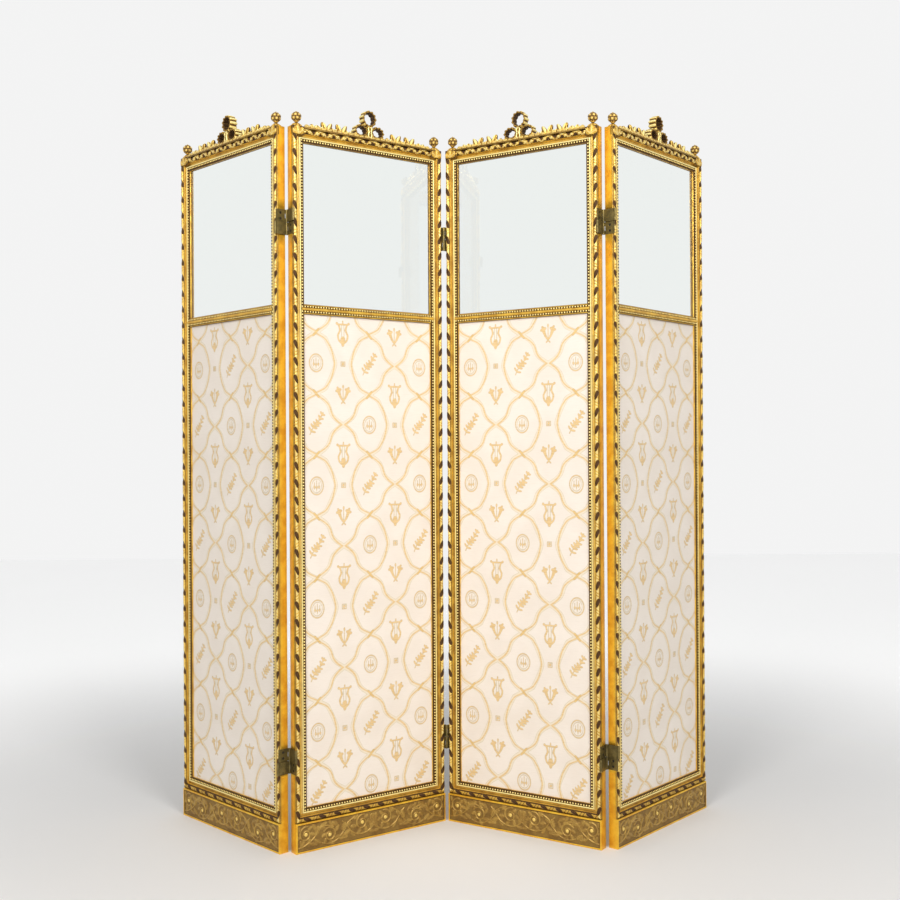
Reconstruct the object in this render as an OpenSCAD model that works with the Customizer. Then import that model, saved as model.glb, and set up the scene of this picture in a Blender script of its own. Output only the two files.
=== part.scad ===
// Four-leaf giltwood folding screen, standing in a zigzag.
// Each leaf is a mitred and tenoned frame with a glass pane above and a silk panel below, a carved plinth
// board, a ribbon-bow crest and two finials. Double-action hinges let each fold close either way.
// A leaf is drawn with its left end at x = 0, the crown of its moulding at y = 0, its back at y = leaf_t
// and the floor at z = 0. The whole screen stands on the floor, centred on its bounding box.

/* [Leaves] */
// Height of the stiles above the floor
stile_h = 1750; // [1600:10:1900]
// Width of one leaf
leaf_w = 440; // [400:5:500]
// Thickness of a leaf from the crown of the moulding to the back
leaf_t = 27; // [26:0.5:32]
// Height of the middle rail's centre
mid_rail_z = 1310; // [1200:5:1400]
// Height of the plinth board
plinth_h = 72; // [60:1:90]

/* [Setting] */
// Turn of the two outer leaves from the front, in degrees
outer_turn = 48; // [35:0.5:60]
// Turn of the two inner leaves from the front, in degrees
inner_turn = 34.5; // [25:0.5:45]

/* [Moulding] */
// Width of the half-round that carries the ribbon-and-stick
ribbon_w = 14; // [12:0.5:16]
// Width of the cove beside it
cove_w = 7; // [6:0.5:9]
// Width of the narrow band between cove and beads
band_w = 4; // [3:0.5:6]
// Width of the bead string
bead_w = 6; // [5:0.5:7]
// Width of the plain lip at the sight edge
lip_w = 3; // [2:0.5:4]
// Width of the half-round along the middle rail
mid_band_w = 6; // [5:0.5:12]
// Depth of the flat ground behind the crown of the moulding
ground_y = 8.5; // [8:0.25:9]
// Depth of the front arris of the flat edge strip
strip_y = 9.5; // [9:0.25:10]

/* [Rebate] */
// Thickness of wood in front of the rebate
face_t = 13.5; // [13:0.5:14]
// Width of the rebate behind the sight edge
rebate_w = 7; // [6:0.5:7.5]
// Thickness of the glass
glass_t = 3; // [2:0.5:4]
// Thickness of the silk
silk_t = 1; // [0.8:0.1:1.2]
// Thickness of the board behind the silk
board_t = 5; // [3:0.5:5.5]
// Depth of the stops that hold glass and board
stop_t = 6; // [4:0.5:6]
// Width of the stops
stop_w = 6.5; // [5:0.5:6.5]
// Air where two stops meet in a corner
stop_joint = 0.2; // [0.1:0.1:0.5]

/* [Joinery] */
// Length of the tenons
tenon_l = 15; // [10:1:18]
// Thickness of the tenons
tenon_t = 7; // [5:0.5:8]
// Shoulder left at each edge of a wide tenon
tenon_inset = 4; // [3:0.5:6]
// Height of the middle rail's tenon
mid_tenon_h = 8; // [6:0.5:8]
// Clearance all round a tenon in its mortise
tenon_gap = 0.15; // [0.05:0.05:0.3]

/* [Plinth board] */
// Thickness of the plinth board
plinth_t = 9.5; // [8.5:0.25:10]
// Width of its raised border
border_w = 5; // [4:0.5:8]
// Depth of the field inside the border
field_d = 2.2; // [1.5:0.1:3]
// Height of the carved scrolls above the field
scroll_d = 1.8; // [1:0.1:2]
// Number of scrolls along the board
scrolls = 6; // [4:1:7]

/* [Crest] */
// Thickness of the strip that the garland grows from
strip_h = 4; // [3:0.5:6]
// Width of the bow over its side loops
bow_w = 88; // [70:2:110]
// Height of the bow above the stiles
bow_h = 71; // [66:1:80]
// Width of the bow's top loop
top_loop_w = 42; // [34:1:48]
// Height of the bow's top loop
top_loop_h = 44; // [38:1:50]
// Width of a side loop
side_loop_w = 40; // [32:1:44]
// Height of a side loop
side_loop_h = 34; // [28:1:38]
// Width of the bow's knot
knot_w = 14; // [10:1:18]
// Height of the bow's knot
knot_h = 30; // [24:1:34]
// Depth of the bow's ribbon
bow_d = 23; // [18:1:24]
// Thickness of the bow's ribbon
bow_ribbon_t = 4; // [3:0.5:5]
// Depth of one pleat in the ribbon
pleat_d = 0.9; // [0.4:0.1:1.2]
// Height of the tall leaf tufts
tuft_h = 20; // [14:1:26]
// Height of the small leaf tufts
small_tuft_h = 9; // [6:1:12]
// Depth of the leaf tufts
tuft_d = 15; // [10:1:18]
// Distance of the tall tufts beside the bow from the middle
inner_tuft_x = 80; // [66:1:95]
// Distance of the next tall tufts from the middle
outer_tuft_x = 122; // [112:1:136]
// Distance of the small tufts from the middle
small_tuft_x = 157; // [152:1:165]

/* [Finials] */
// Diameter of the finial's ball
ball_d = 25.5; // [22:0.5:26]
// Height of the ball's centre above the stile
ball_z = 24; // [22:1:28]
// Diameter of the neck
neck_d = 9; // [7:0.5:11]
// Width of the carved corner block
block_w = 33; // [30:0.5:33]
// Height of the carved corner block's face
block_h = 21; // [18:0.5:22]
// Height of the cap under the neck
cap_h = 5; // [3:0.5:7]

/* [Hinges] */
// Height of one hinge
hinge_h = 61; // [50:1:75]
// Height of the upper hinges' centre
hinge_top_z = 1519; // [1450:1:1560]
// Height of the lower hinges' centre
hinge_low_z = 220; // [180:1:300]
// Thickness of the hinge plates and links
hinge_t = 2; // [1.6:0.1:2.4]
// Air on each side of a link between the plates
link_gap = 0.5; // [0.3:0.1:0.8]
// Radius of the knuckles
knuckle_r = 3; // [2.6:0.1:3.5]
// Radius of the pins
pin_r = 1.2; // [1:0.1:1.5]
// Running clearance round a pin
pin_gap = 0.05; // [0.04:0.01:0.08]
// Air between a knuckle and the face of the leaf
knuckle_air = 0.3; // [0.3:0.1:0.6]
// Air between knuckles along a pin
knuckle_end_gap = 0.3; // [0.2:0.1:0.6]
// Radius of a screw hole
screw_r = 1.9; // [1.5:0.1:2.2]

/* [Hidden] */
$fn = 40;

gold = "#c9962e";
deep_gold = "#9a6a24";
brass = "#8f7a3c";
silk_cream = "#ece2cc";
lining = "#d8ccb0";

frame_w = ribbon_w + cove_w + band_w + bead_w + lip_w;
frame_top = stile_h - strip_h;
bead_crown_y = 6;
// How far neighbouring rounds of the moulding run into each other
overlap = 0.4;
// Blunt end left on a stile's side of a mitre
mitre_nose = 0.5;
mid_side = bead_w + lip_w;
mid_rail_h = mid_band_w + 2 * mid_side;
core_w = frame_w - rebate_w;
core_t = leaf_t - face_t;

// Sight openings: glass above the middle rail, silk below it
opening_w = leaf_w - 2 * frame_w;
glass_low = mid_rail_z + mid_rail_h / 2;
glass_high = frame_top - frame_w;
silk_low = plinth_h + frame_w;
silk_high = mid_rail_z - mid_rail_h / 2;
pane_gap = 0.5;
pane_reach = rebate_w - pane_gap;

// Hinge places: a pin line just in front of the leaf and another just behind it
leaf_gap = hinge_t + 2 * link_gap;
pin_out = knuckle_r + knuckle_air;
front_pin_y = -pin_out;
back_pin_y = leaf_t + pin_out;
left_pin_x = -leaf_gap / 2;
right_pin_x = leaf_w + leaf_gap / 2;
// Half the air between the upper and the lower half of a hinge
half_gap = 0.4;
bar_inset = 0.05;
half_h = hinge_h / 2 - half_gap;
end_knuckle_h = (half_h - 2 * knuckle_end_gap) * 0.32;
mid_knuckle_h = half_h - 2 * knuckle_end_gap - 2 * end_knuckle_h;
hinge_levels = [hinge_low_z, hinge_top_z];

// Plan of the zigzag, worked out from the front pin of the middle fold at [0, 0]
function spin(p, a) = [p[0] * cos(a) - p[1] * sin(a), p[0] * sin(a) + p[1] * cos(a)];
function turn_of(k) = [-outer_turn, inner_turn, -inner_turn, outer_turn][k - 1];
start_2 = -spin([right_pin_x, front_pin_y], inner_turn);
start_3 = -spin([left_pin_x, front_pin_y], -inner_turn);
fold_12 = start_2 + spin([left_pin_x, back_pin_y], inner_turn);
fold_34 = start_3 + spin([right_pin_x, back_pin_y], -inner_turn);
start_1 = fold_12 - spin([right_pin_x, back_pin_y], -outer_turn);
start_4 = fold_34 - spin([left_pin_x, back_pin_y], outer_turn);
function start_of(k) = [start_1, start_2, start_3, start_4][k - 1];
front_most = (start_2 + spin([left_pin_x, front_pin_y], inner_turn))[1] - knuckle_r;
outer_back = (start_1 + spin([0, leaf_t], -outer_turn))[1];
centre_back = spin([0, leaf_t + 2 * pin_out], inner_turn)[1] + knuckle_r;
back_most = max(outer_back, centre_back);
depth_centre = (front_most + back_most) / 2;

// Moves a leaf drawn in its own axes to its place in the zigzag
module in_leaf(k) {
    translate([start_of(k)[0], start_of(k)[1] - depth_centre, 0])
        rotate(turn_of(k))
            children();
}

// Turns a drawing in x and z into a plate from depth y0 to depth y1
module upright(y0, y1) {
    translate([0, y1, 0])
        rotate([90, 0, 0])
            linear_extrude(y1 - y0)
                children();
}

// Section of the moulding in front of the rebate, from the outer edge at 0 to the sight edge
module face_section() {
    ribbon_r = ribbon_w / 2;
    band_x = ribbon_w + cove_w + band_w / 2;
    bead_x = ribbon_w + cove_w + band_w + bead_w / 2;
    difference() {
        union() {
            translate([ribbon_r, ribbon_r]) circle(r = ribbon_r);
            translate([0, ribbon_r]) square([ribbon_w, face_t - ribbon_r]);
            translate([0, strip_y]) square([frame_w, face_t - strip_y]);
            translate([ribbon_r, ground_y]) square([bead_x - ribbon_r, face_t - ground_y]);
            translate([band_x, ground_y]) circle(r = band_w / 2 + overlap);
            translate([bead_x, bead_crown_y + bead_w / 2]) circle(d = bead_w - 0.1);
        }
        translate([ribbon_w + cove_w / 2, ground_y - 1]) circle(r = cove_w / 2 + 2 * overlap);
    }
}

// Section of the middle rail's moulding, centred on its height
module mid_section() {
    side = mid_band_w / 2;
    bead_x = side + bead_w / 2;
    translate([-bead_x, ground_y]) square([2 * bead_x, face_t - ground_y]);
    translate([-side - mid_side, strip_y]) square([2 * (side + mid_side), face_t - strip_y]);
    translate([0, ground_y - 1 + overlap]) circle(r = side + overlap);
    for (s = [-1, 1])
        translate([s * bead_x, bead_crown_y + bead_w / 2]) circle(d = bead_w - 0.1);
}

// Outline in x and z of the upright's moulded face, mitred at both ends
module upright_outline() {
    polygon([
        [0, plinth_h], [mitre_nose, plinth_h], [frame_w, plinth_h + frame_w - mitre_nose],
        [frame_w, frame_top - frame_w + mitre_nose], [mitre_nose, frame_top], [0, frame_top]
    ]);
}

// Outline of a rail's moulded face between the mitres, from its outer edge at z0 up (way 1) or down (way -1)
module rail_outline(z0, way) {
    shoulder = z0 + way * (frame_w - mitre_nose);
    sight = z0 + way * frame_w;
    polygon([
        [mitre_nose, z0], [frame_w, shoulder], [frame_w, sight],
        [leaf_w - frame_w, sight], [leaf_w - frame_w, shoulder], [leaf_w - mitre_nose, z0]
    ]);
}

// Outline in x and z of the middle rail's pointed ends, mitred into the bead strings
module mid_rail_outline() {
    tip = mid_rail_h / 2 - mid_side;
    x0 = frame_w;
    x1 = leaf_w - frame_w;
    translate([0, mid_rail_z])
        polygon([
            [x0, mid_rail_h / 2], [x0 - mid_side, tip], [x0 - mid_side, -tip], [x0, -mid_rail_h / 2],
            [x1, -mid_rail_h / 2], [x1 + mid_side, -tip], [x1 + mid_side, tip], [x1, mid_rail_h / 2]
        ]);
}

// Room for the carved corner block at the top of a left stile, in the moulded face alone
module block_pocket() {
    translate([-1, -1, stile_h - block_h]) cube([block_w + 1, strip_y + 1, block_h + 1]);
}

// One tenon, or with gap the mortise that takes it, along x from the stile's inner side
module tenon(z0, z1, gap = 0) {
    y0 = face_t + (core_t - tenon_t) / 2;
    translate([core_w - tenon_l - gap, y0 - gap, z0 - gap])
        cube([tenon_l + gap + 0.01 * sign(gap), tenon_t + 2 * gap, z1 - z0 + 2 * gap]);
}

module all_tenons(gap = 0) {
    tenon(frame_top - core_w + tenon_inset, frame_top - tenon_inset, gap);
    tenon(mid_rail_z - mid_tenon_h / 2, mid_rail_z + mid_tenon_h / 2, gap);
    tenon(tenon_inset, plinth_h + core_w - tenon_inset, gap);
}

// Recess for the two hinge plates in the outer edge of a left stile
module hinge_recesses() {
    for (z = hinge_levels)
        translate([-1, -1, z - hinge_h / 2])
            cube([hinge_t + 1, leaf_t + 2, hinge_h]);
}

module left_stile() {
    color(gold)
    difference() {
        union() {
            intersection() {
                linear_extrude(stile_h) face_section();
                upright(-1, face_t) upright_outline();
            }
            translate([0, plinth_t, 0]) cube([core_w, face_t - plinth_t, plinth_h]);
            translate([0, face_t, 0]) cube([core_w, core_t, stile_h]);
            translate([0, strip_y, frame_top]) cube([core_w, face_t - strip_y, strip_h]);
        }
        block_pocket();
        upright(-2, face_t) mid_rail_outline();
        all_tenons(tenon_gap);
        hinge_recesses();
    }
}

module mirrored() {
    translate([leaf_w, 0, 0]) mirror([1, 0, 0]) children();
}

module top_rail() {
    color(gold)
    difference() {
        union() {
            intersection() {
                translate([0, 0, frame_top]) rotate([0, 90, 0]) linear_extrude(leaf_w) face_section();
                upright(-1, face_t) rail_outline(frame_top, -1);
            }
            translate([core_w, face_t, frame_top - core_w]) cube([leaf_w - 2 * core_w, core_t, core_w]);
            for (side = [0, 1])
                either_end(side)
                    tenon(frame_top - core_w + tenon_inset, frame_top - tenon_inset);
        }
        for (side = [0, 1])
            either_end(side) block_pocket();
    }
}

module mid_rail() {
    core_half = mid_rail_h / 2 - rebate_w;
    color(gold)
    union() {
        intersection() {
            translate([leaf_w, 0, mid_rail_z]) rotate([0, -90, 0]) linear_extrude(leaf_w) mid_section();
            upright(-1, face_t) mid_rail_outline();
        }
        translate([core_w, face_t, mid_rail_z - core_half])
            cube([leaf_w - 2 * core_w, core_t, 2 * core_half]);
        for (side = [0, 1])
            either_end(side)
                tenon(mid_rail_z - mid_tenon_h / 2, mid_rail_z + mid_tenon_h / 2);
    }
}

module bottom_rail() {
    color(gold)
    union() {
        intersection() {
            translate([leaf_w, 0, plinth_h]) rotate([0, -90, 0]) linear_extrude(leaf_w) face_section();
            upright(-1, face_t) rail_outline(plinth_h, 1);
        }
        translate([core_w, face_t, 0]) cube([leaf_w - 2 * core_w, core_t, plinth_h + core_w]);
        translate([core_w, plinth_t, 0]) cube([leaf_w - 2 * core_w, face_t - plinth_t, plinth_h]);
        for (side = [0, 1])
            either_end(side)
                tenon(tenon_inset, plinth_h + core_w - tenon_inset);
    }
}

// The left end of a leaf as drawn, or its mirror at the right end
module either_end(side) {
    if (side == 0) children();
    else mirrored() children();
}

// Points of a spiral band that widens outwards
function spiral_side(r0, r1, turns, way, n, offset0, offset1) = [
    for (i = [0:n])
        let (f = i / n, a = way * 360 * turns * f, r = r0 + (r1 - r0) * f + offset0 + (offset1 - offset0) * f)
            [r * cos(a), r * sin(a)]
];
function backwards(list) = [for (i = [len(list) - 1:-1:0]) list[i]];

// One scroll of the plinth's carving, curling from its eye to its outer end
module scroll(outer_r, way) {
    eye_r = 4;
    stem_inner = 1;
    stem_outer = 2.4;
    wraps = 1.5;
    steps = 22;
    r0 = eye_r - stem_inner;
    r1 = outer_r - stem_outer;
    circle(r = eye_r, $fn = 20);
    polygon(concat(
        spiral_side(r0, r1, wraps, way, steps, -stem_inner, -stem_outer),
        backwards(spiral_side(r0, r1, wraps, way, steps, stem_inner, stem_outer))
    ));
}

module plinth() {
    field_h = plinth_h - 2 * border_w;
    cell = (leaf_w - 2 * border_w) / scrolls;
    scroll_air = 1.5;
    scroll_root = 0.5;
    scroll_r = min(cell, field_h) / 2 - scroll_air;
    board_front = 0.5;
    field_y = board_front + field_d;
    color(deep_gold) {
        difference() {
            translate([0, board_front, 0]) cube([leaf_w, plinth_t - board_front, plinth_h]);
            translate([border_w, board_front - 1, border_w])
                cube([leaf_w - 2 * border_w, field_d + 1, field_h]);
        }
        upright(field_y - scroll_d, field_y + scroll_root)
            for (i = [0:scrolls - 1])
                translate([border_w + cell * (i + 0.5), plinth_h / 2])
                    rotate(i % 2 == 0 ? 0 : 180)
                        scroll(scroll_r, i % 2 == 0 ? 1 : -1);
    }
}

// Closed outline of a pleated ribbon loop, its pleats running across the ribbon
function pleated(a, b, lobes) = [
    for (i = [0:4 * lobes - 1])
        let (t = 360 / (4 * lobes) * i, r = 1 + pleat_d / 2 / a * cos(lobes * t))
            [a * r * cos(t), b * r * sin(t)]
];

module ribbon_loop(w, h, lobes) {
    a = w / 2 - pleat_d / 2;
    b = h / 2 - pleat_d / 2;
    difference() {
        polygon(pleated(a, b, lobes));
        polygon(pleated(a - bow_ribbon_t, b - bow_ribbon_t, lobes));
    }
}

// Pointed leaf blade, curved sideways by lean at its tip
module blade(w, h, lean) {
    n = 6;
    polygon(concat(
        [for (i = [0:n]) let (f = i / n) [lean * f * f - w / 2 * cos(90 * f * f), h * f]],
        [for (i = [n - 1:-1:0]) let (f = i / n) [lean * f * f + w / 2 * cos(90 * f * f), h * f]]
    ));
}

// Pair of blades that part in a V from one root
module tuft(h) {
    blade_w = 7;
    blade_lean = 2.5;
    cleft = 0.3;
    root_h = 2.5;
    root_sink = 1;
    for (s = [-1, 1])
        translate([s * (blade_w / 2 + cleft), 0]) blade(blade_w, h, s * blade_lean);
    translate([-blade_w, -root_sink]) square([2 * blade_w, root_h]);
}

module crest() {
    mid = leaf_w / 2;
    bow_y = (leaf_t - bow_d) / 2;
    strip_inset = 1;
    garland_y = 1.5;
    garland_base = 0.7;
    garland_h = 3;
    garland_pitch = 24;
    garland_x0 = block_w + 1;
    garland_n = 2 * round((leaf_w - 2 * garland_x0) / garland_pitch);
    garland_step = (leaf_w - 2 * garland_x0) / garland_n / 4;
    tuft_y = garland_y + 1;
    sink = 0.5;
    knot_proud = 1.5;
    top_pleats = 15;
    side_pleats = 13;
    knot_pleats = 8;
    tufts = [[small_tuft_x, small_tuft_h], [outer_tuft_x, tuft_h - 1], [inner_tuft_x, tuft_h]];
    color(gold) {
        translate([block_w, strip_inset, frame_top])
            cube([leaf_w - 2 * block_w, leaf_t - 2 * strip_inset, strip_h]);
        translate([core_w, face_t, frame_top])
            cube([leaf_w - 2 * core_w, core_t - strip_inset, strip_h]);
        translate([0, 0, stile_h - sink]) {
            upright(garland_y, garland_y + tuft_d)
                polygon(concat(
                    [for (i = [0:4 * garland_n])
                        [garland_x0 + i * garland_step, garland_base + garland_h * abs(sin(45 * i))]],
                    [[leaf_w - garland_x0, 0], [garland_x0, 0]]
                ));
            upright(tuft_y, tuft_y + tuft_d)
                for (t = tufts, s = [-1, 1])
                    translate([mid + s * t[0], 2 * sink]) tuft(t[1]);
        }
        translate([mid, 0, stile_h]) {
            upright(bow_y, bow_y + bow_d) {
                translate([0, bow_h - top_loop_h / 2]) ribbon_loop(top_loop_w, top_loop_h, top_pleats);
                for (s = [-1, 1])
                    translate([s * (bow_w - side_loop_w) / 2, side_loop_h / 2 - sink])
                        ribbon_loop(side_loop_w, side_loop_h, side_pleats);
            }
            upright(bow_y - knot_proud, bow_y + bow_d + knot_proud)
                translate([0, knot_h / 2 - sink]) polygon(pleated(knot_w / 2, knot_h / 2, knot_pleats));
        }
    }
}

// Corner block, cap, neck and ball, drawn for the left stile
module finial() {
    centre_x = frame_w / 2;
    centre_y = leaf_t / 2;
    face_y = 1.2;
    boss_y = 0.3;
    boss_border = 2.5;
    block_x = 1;
    cap_inset = 2.5;
    foot_d = neck_d + 7;
    foot_h = 4;
    sink = 0.5;
    cup_d = ball_d * 0.72;
    cup_h = 6.5;
    cup_drop = 2.5;
    bud_d1 = 5;
    bud_d2 = 2.4;
    bud_h = 2.4;
    ball_low = ball_z - ball_d / 2;
    ball_high = ball_z + ball_d / 2;
    translate([block_x, face_y, stile_h - block_h])
        cube([block_w - block_x, strip_y - face_y, block_h]);
    upright(boss_y, face_y + sink)
        translate([(block_x + block_w) / 2, stile_h - block_h / 2]) circle(d = block_h - 2 * boss_border);
    translate([cap_inset, cap_inset, stile_h])
        cube([block_w + block_x - 2 * cap_inset, leaf_t - 2 * cap_inset, cap_h]);
    translate([centre_x, centre_y, stile_h]) {
        translate([0, 0, cap_h - sink]) cylinder(d1 = foot_d, d2 = neck_d, h = foot_h);
        cylinder(d = neck_d, h = ball_low + 2 * sink);
        translate([0, 0, ball_low - cup_drop]) cylinder(d1 = neck_d, d2 = cup_d, h = cup_h);
        translate([0, 0, ball_z]) sphere(d = ball_d);
        translate([0, 0, ball_high - 2 * sink]) cylinder(d1 = bud_d1, d2 = bud_d2, h = bud_h);
    }
}

module finials() {
    color(gold)
    for (side = [0, 1])
        either_end(side) finial();
}

// Slab behind a sight opening, reaching into the rebate all round
module pane(z0, z1, y0, thick) {
    translate([frame_w - pane_reach, y0, z0 - pane_reach])
        cube([opening_w + 2 * pane_reach, thick, z1 - z0 + 2 * pane_reach]);
}

module glass() {
    color("lightblue", 0.3) pane(glass_low, glass_high, face_t, glass_t);
}

module silk() {
    color(silk_cream) pane(silk_low, silk_high, face_t, silk_t);
}

module panel_board() {
    color(lining) pane(silk_low, silk_high, face_t + silk_t, board_t);
}

// Section of a stop, its back inner edge chamfered
module stop_section() {
    c = 2;
    polygon([[0, 0], [stop_w, 0], [stop_w, stop_t - c], [stop_w - c, stop_t], [0, stop_t]]);
}

module stop_frame(z0, z1, y0) {
    low = z0 - rebate_w;
    high = z1 + rebate_w;
    for (side = [0, 1])
        either_end(side)
            translate([core_w, y0, low]) linear_extrude(high - low) stop_section();
    x0 = core_w + stop_w + stop_joint;
    translate([leaf_w - x0, y0, low]) rotate([0, -90, 0]) linear_extrude(leaf_w - 2 * x0) stop_section();
    translate([x0, y0, high]) rotate([0, 90, 0]) linear_extrude(leaf_w - 2 * x0) stop_section();
}

module stops() {
    color(deep_gold) {
        stop_frame(glass_low, glass_high, face_t + glass_t);
        stop_frame(silk_low, silk_high, face_t + silk_t + board_t);
    }
}

// Bottom of one half of a hinge, upper or lower, from the hinge's centre
function half_z(up) = up ? half_gap : -half_gap - half_h;

// Bottoms of a half's two end knuckles and its middle knuckle
function end_knuckles(up) = [half_z(up), half_z(up) + half_h - end_knuckle_h];
function mid_knuckle(up) = half_z(up) + end_knuckle_h + knuckle_end_gap;

module rod(x, y, z, r, h) {
    translate([x, y, z]) cylinder(r = r, h = h, $fn = 32);
}

// Pin of one half: a whole rod, or where the pivot is open only the lengths in the end knuckles
module pin(x, y, up, open) {
    if (open)
        for (z = end_knuckles(up)) rod(x, y, z, pin_r, end_knuckle_h);
    else
        rod(x, y, half_z(up), pin_r, half_h);
}

// Two half-height plates let into a leaf's right edge, which lies at x = 0: one has its knuckles at the
// front, the other at the back
module plate(front_up, front_open, back_open) {
    pin_x = leaf_gap / 2;
    lap = 0.5;
    screw_steps = [8, 22];
    halves = [[front_pin_y, front_up, front_open], [back_pin_y, !front_up, back_open]];
    difference() {
        union() {
            for (h = halves)
                translate([-hinge_t, lap, half_z(h[1])]) cube([hinge_t, leaf_t - 2 * lap, half_h]);
            for (h = halves, z = end_knuckles(h[1])) {
                y0 = min(h[0], leaf_t - 2 * lap);
                y1 = max(h[0], 2 * lap);
                translate([-hinge_t, y0, z]) cube([hinge_t, y1 - y0, end_knuckle_h]);
                rod(pin_x, h[0], z, knuckle_r, end_knuckle_h);
            }
        }
        for (h = halves)
            rod(pin_x, h[0], half_z(h[1]) - 1, pin_r + pin_gap, half_h + 2);
        for (z = [-1, 1], step = screw_steps)
            translate([-hinge_t - 1, leaf_t / 2, z * step]) rotate([0, 90, 0]) {
                cylinder(r = screw_r, h = hinge_t + 2, $fn = 24);
                translate([0, 0, hinge_t]) cylinder(r1 = screw_r, r2 = 2 * screw_r, h = 1.01, $fn = 24);
            }
    }
    for (h = halves)
        pin(pin_x, h[0], h[1], h[2]);
}

// Link between two plates: a flat bar with one knuckle on the front pin and one on the back pin
module link(up, front_open, back_open) {
    bar_y0 = bar_inset;
    bar_y1 = leaf_t - bar_inset;
    difference() {
        union() {
            translate([-hinge_t / 2, bar_y0, half_z(up)]) cube([hinge_t, bar_y1 - bar_y0, half_h]);
            translate([-hinge_t / 2, front_pin_y, mid_knuckle(up)])
                cube([hinge_t, back_pin_y - front_pin_y, mid_knuckle_h]);
            for (y = [front_pin_y, back_pin_y])
                rod(0, y, mid_knuckle(up), knuckle_r, mid_knuckle_h);
        }
        for (y = [front_pin_y, back_pin_y])
            rod(0, y, mid_knuckle(up) - 1, pin_r + pin_gap, mid_knuckle_h + 2);
    }
    if (front_open) rod(0, front_pin_y, mid_knuckle(up), pin_r, mid_knuckle_h);
    if (back_open) rod(0, back_pin_y, mid_knuckle(up), pin_r, mid_knuckle_h);
}

// The pivot left open at each fold: lower back, lower front and upper back
module left_plates(fold) {
    color(brass)
    in_leaf(fold)
        for (z = hinge_levels)
            translate([leaf_w, 0, z]) plate(false, fold == 2, fold == 3);
}

module right_plates(fold) {
    color(brass)
    in_leaf(fold + 1)
        for (z = hinge_levels)
            translate([0, 0, z]) mirror([1, 0, 0]) plate(true, false, fold == 1);
}

module upper_links(fold) {
    leaf = fold == 3 ? 4 : 2;
    color(brass)
    in_leaf(leaf)
        for (z = hinge_levels)
            translate([leaf > fold ? left_pin_x : right_pin_x, 0, z]) link(true, false, fold == 3);
}

module lower_links(fold) {
    leaf = fold == 1 ? 1 : 3;
    color(brass)
    in_leaf(leaf)
        for (z = hinge_levels)
            translate([leaf > fold ? left_pin_x : right_pin_x, 0, z]) link(false, fold == 2, fold == 1);
}

for (k = [1:4]) {
    in_leaf(k) left_stile();
    in_leaf(k) mirrored() left_stile();
    in_leaf(k) top_rail();
    in_leaf(k) mid_rail();
    in_leaf(k) bottom_rail();
    in_leaf(k) plinth();
    in_leaf(k) crest();
    in_leaf(k) finials();
    in_leaf(k) glass();
    in_leaf(k) silk();
    in_leaf(k) panel_board();
    in_leaf(k) stops();
}
for (fold = [1:3]) {
    left_plates(fold);
    right_plates(fold);
    upper_links(fold);
    lower_links(fold);
}
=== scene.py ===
"""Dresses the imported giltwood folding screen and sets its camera, floor and light.

Every leaf is drawn once, in its own axes in millimetres: x along the leaf, y from the crown of the moulding
at 0 to the back at 27, z up from the floor. The meshes are then placed four times, one for each leaf.
"""
import math

import bpy
import numpy as np
from mathutils import Matrix, Vector


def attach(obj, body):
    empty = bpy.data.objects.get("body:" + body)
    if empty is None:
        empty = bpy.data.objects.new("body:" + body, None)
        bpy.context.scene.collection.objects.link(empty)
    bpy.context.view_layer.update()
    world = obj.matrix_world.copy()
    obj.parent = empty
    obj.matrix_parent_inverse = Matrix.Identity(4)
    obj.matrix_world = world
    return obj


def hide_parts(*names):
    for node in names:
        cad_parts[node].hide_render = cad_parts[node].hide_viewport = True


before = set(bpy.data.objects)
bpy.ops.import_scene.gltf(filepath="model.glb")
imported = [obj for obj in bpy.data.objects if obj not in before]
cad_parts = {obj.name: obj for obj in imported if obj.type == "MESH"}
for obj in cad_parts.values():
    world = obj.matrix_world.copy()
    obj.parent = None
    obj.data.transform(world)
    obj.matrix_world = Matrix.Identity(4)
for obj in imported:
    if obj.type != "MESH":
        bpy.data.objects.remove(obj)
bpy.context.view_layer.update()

# Sizes in millimetres. Those of the frame are the CAD source's
LEAF_W, LEAF_T = 440.0, 27.0  # width and thickness of a leaf
FRAME_W, CORE_W = 34.0, 27.0  # width of the moulding and of the core behind it
TOP, STILE_H, PLINTH_H = 1746.0, 1750.0, 72.0  # heights of the frame, the stiles and the plinth board
REBATE_Y, BOARD_T = 13.5, 9.5  # depth of the moulded wood, and thickness of the plinth board
BLOCK_Z, BLOCK_Y = 1729.0, 2.6  # foot and ground of the corner block
MID_Z, MID_HALF = 1310.0, 12.0  # centre and half-height of the middle rail
HINGES, HINGE_HALF, RECESS = (220.0, 1519.0), 30.5, 2.0  # levels, half-height and recess of the hinges
CENTRE_X, CENTRE_Y = 220.0, 13.5  # middle of a leaf's width and thickness
BALL_X = 17.0  # axis of a finial
SOFT_R = 0.8  # rounding of plain edges
DEPTH_CENTRE = -75.62748826520841
# Each leaf's left end at the moulding's crown, x and y, and its turn in degrees
PLACES = {
    1: (-702.057602, 84.59646, -48.0),
    2: (-365.720853, -247.348737, 34.5),
    3: (3.10533, 1.870007, -34.5),
    4: (407.640135, -242.387263, 48.0),
}


def leaf_matrix(k):
    x, y, turn = PLACES[k]
    place = Matrix.Translation((x / 1000, (y - DEPTH_CENTRE) / 1000, 0))
    return place @ Matrix.Rotation(math.radians(turn), 4, "Z")


def add_object(name, data):
    obj = bpy.data.objects.new(name, data)
    bpy.context.scene.collection.objects.link(obj)
    return obj


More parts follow.
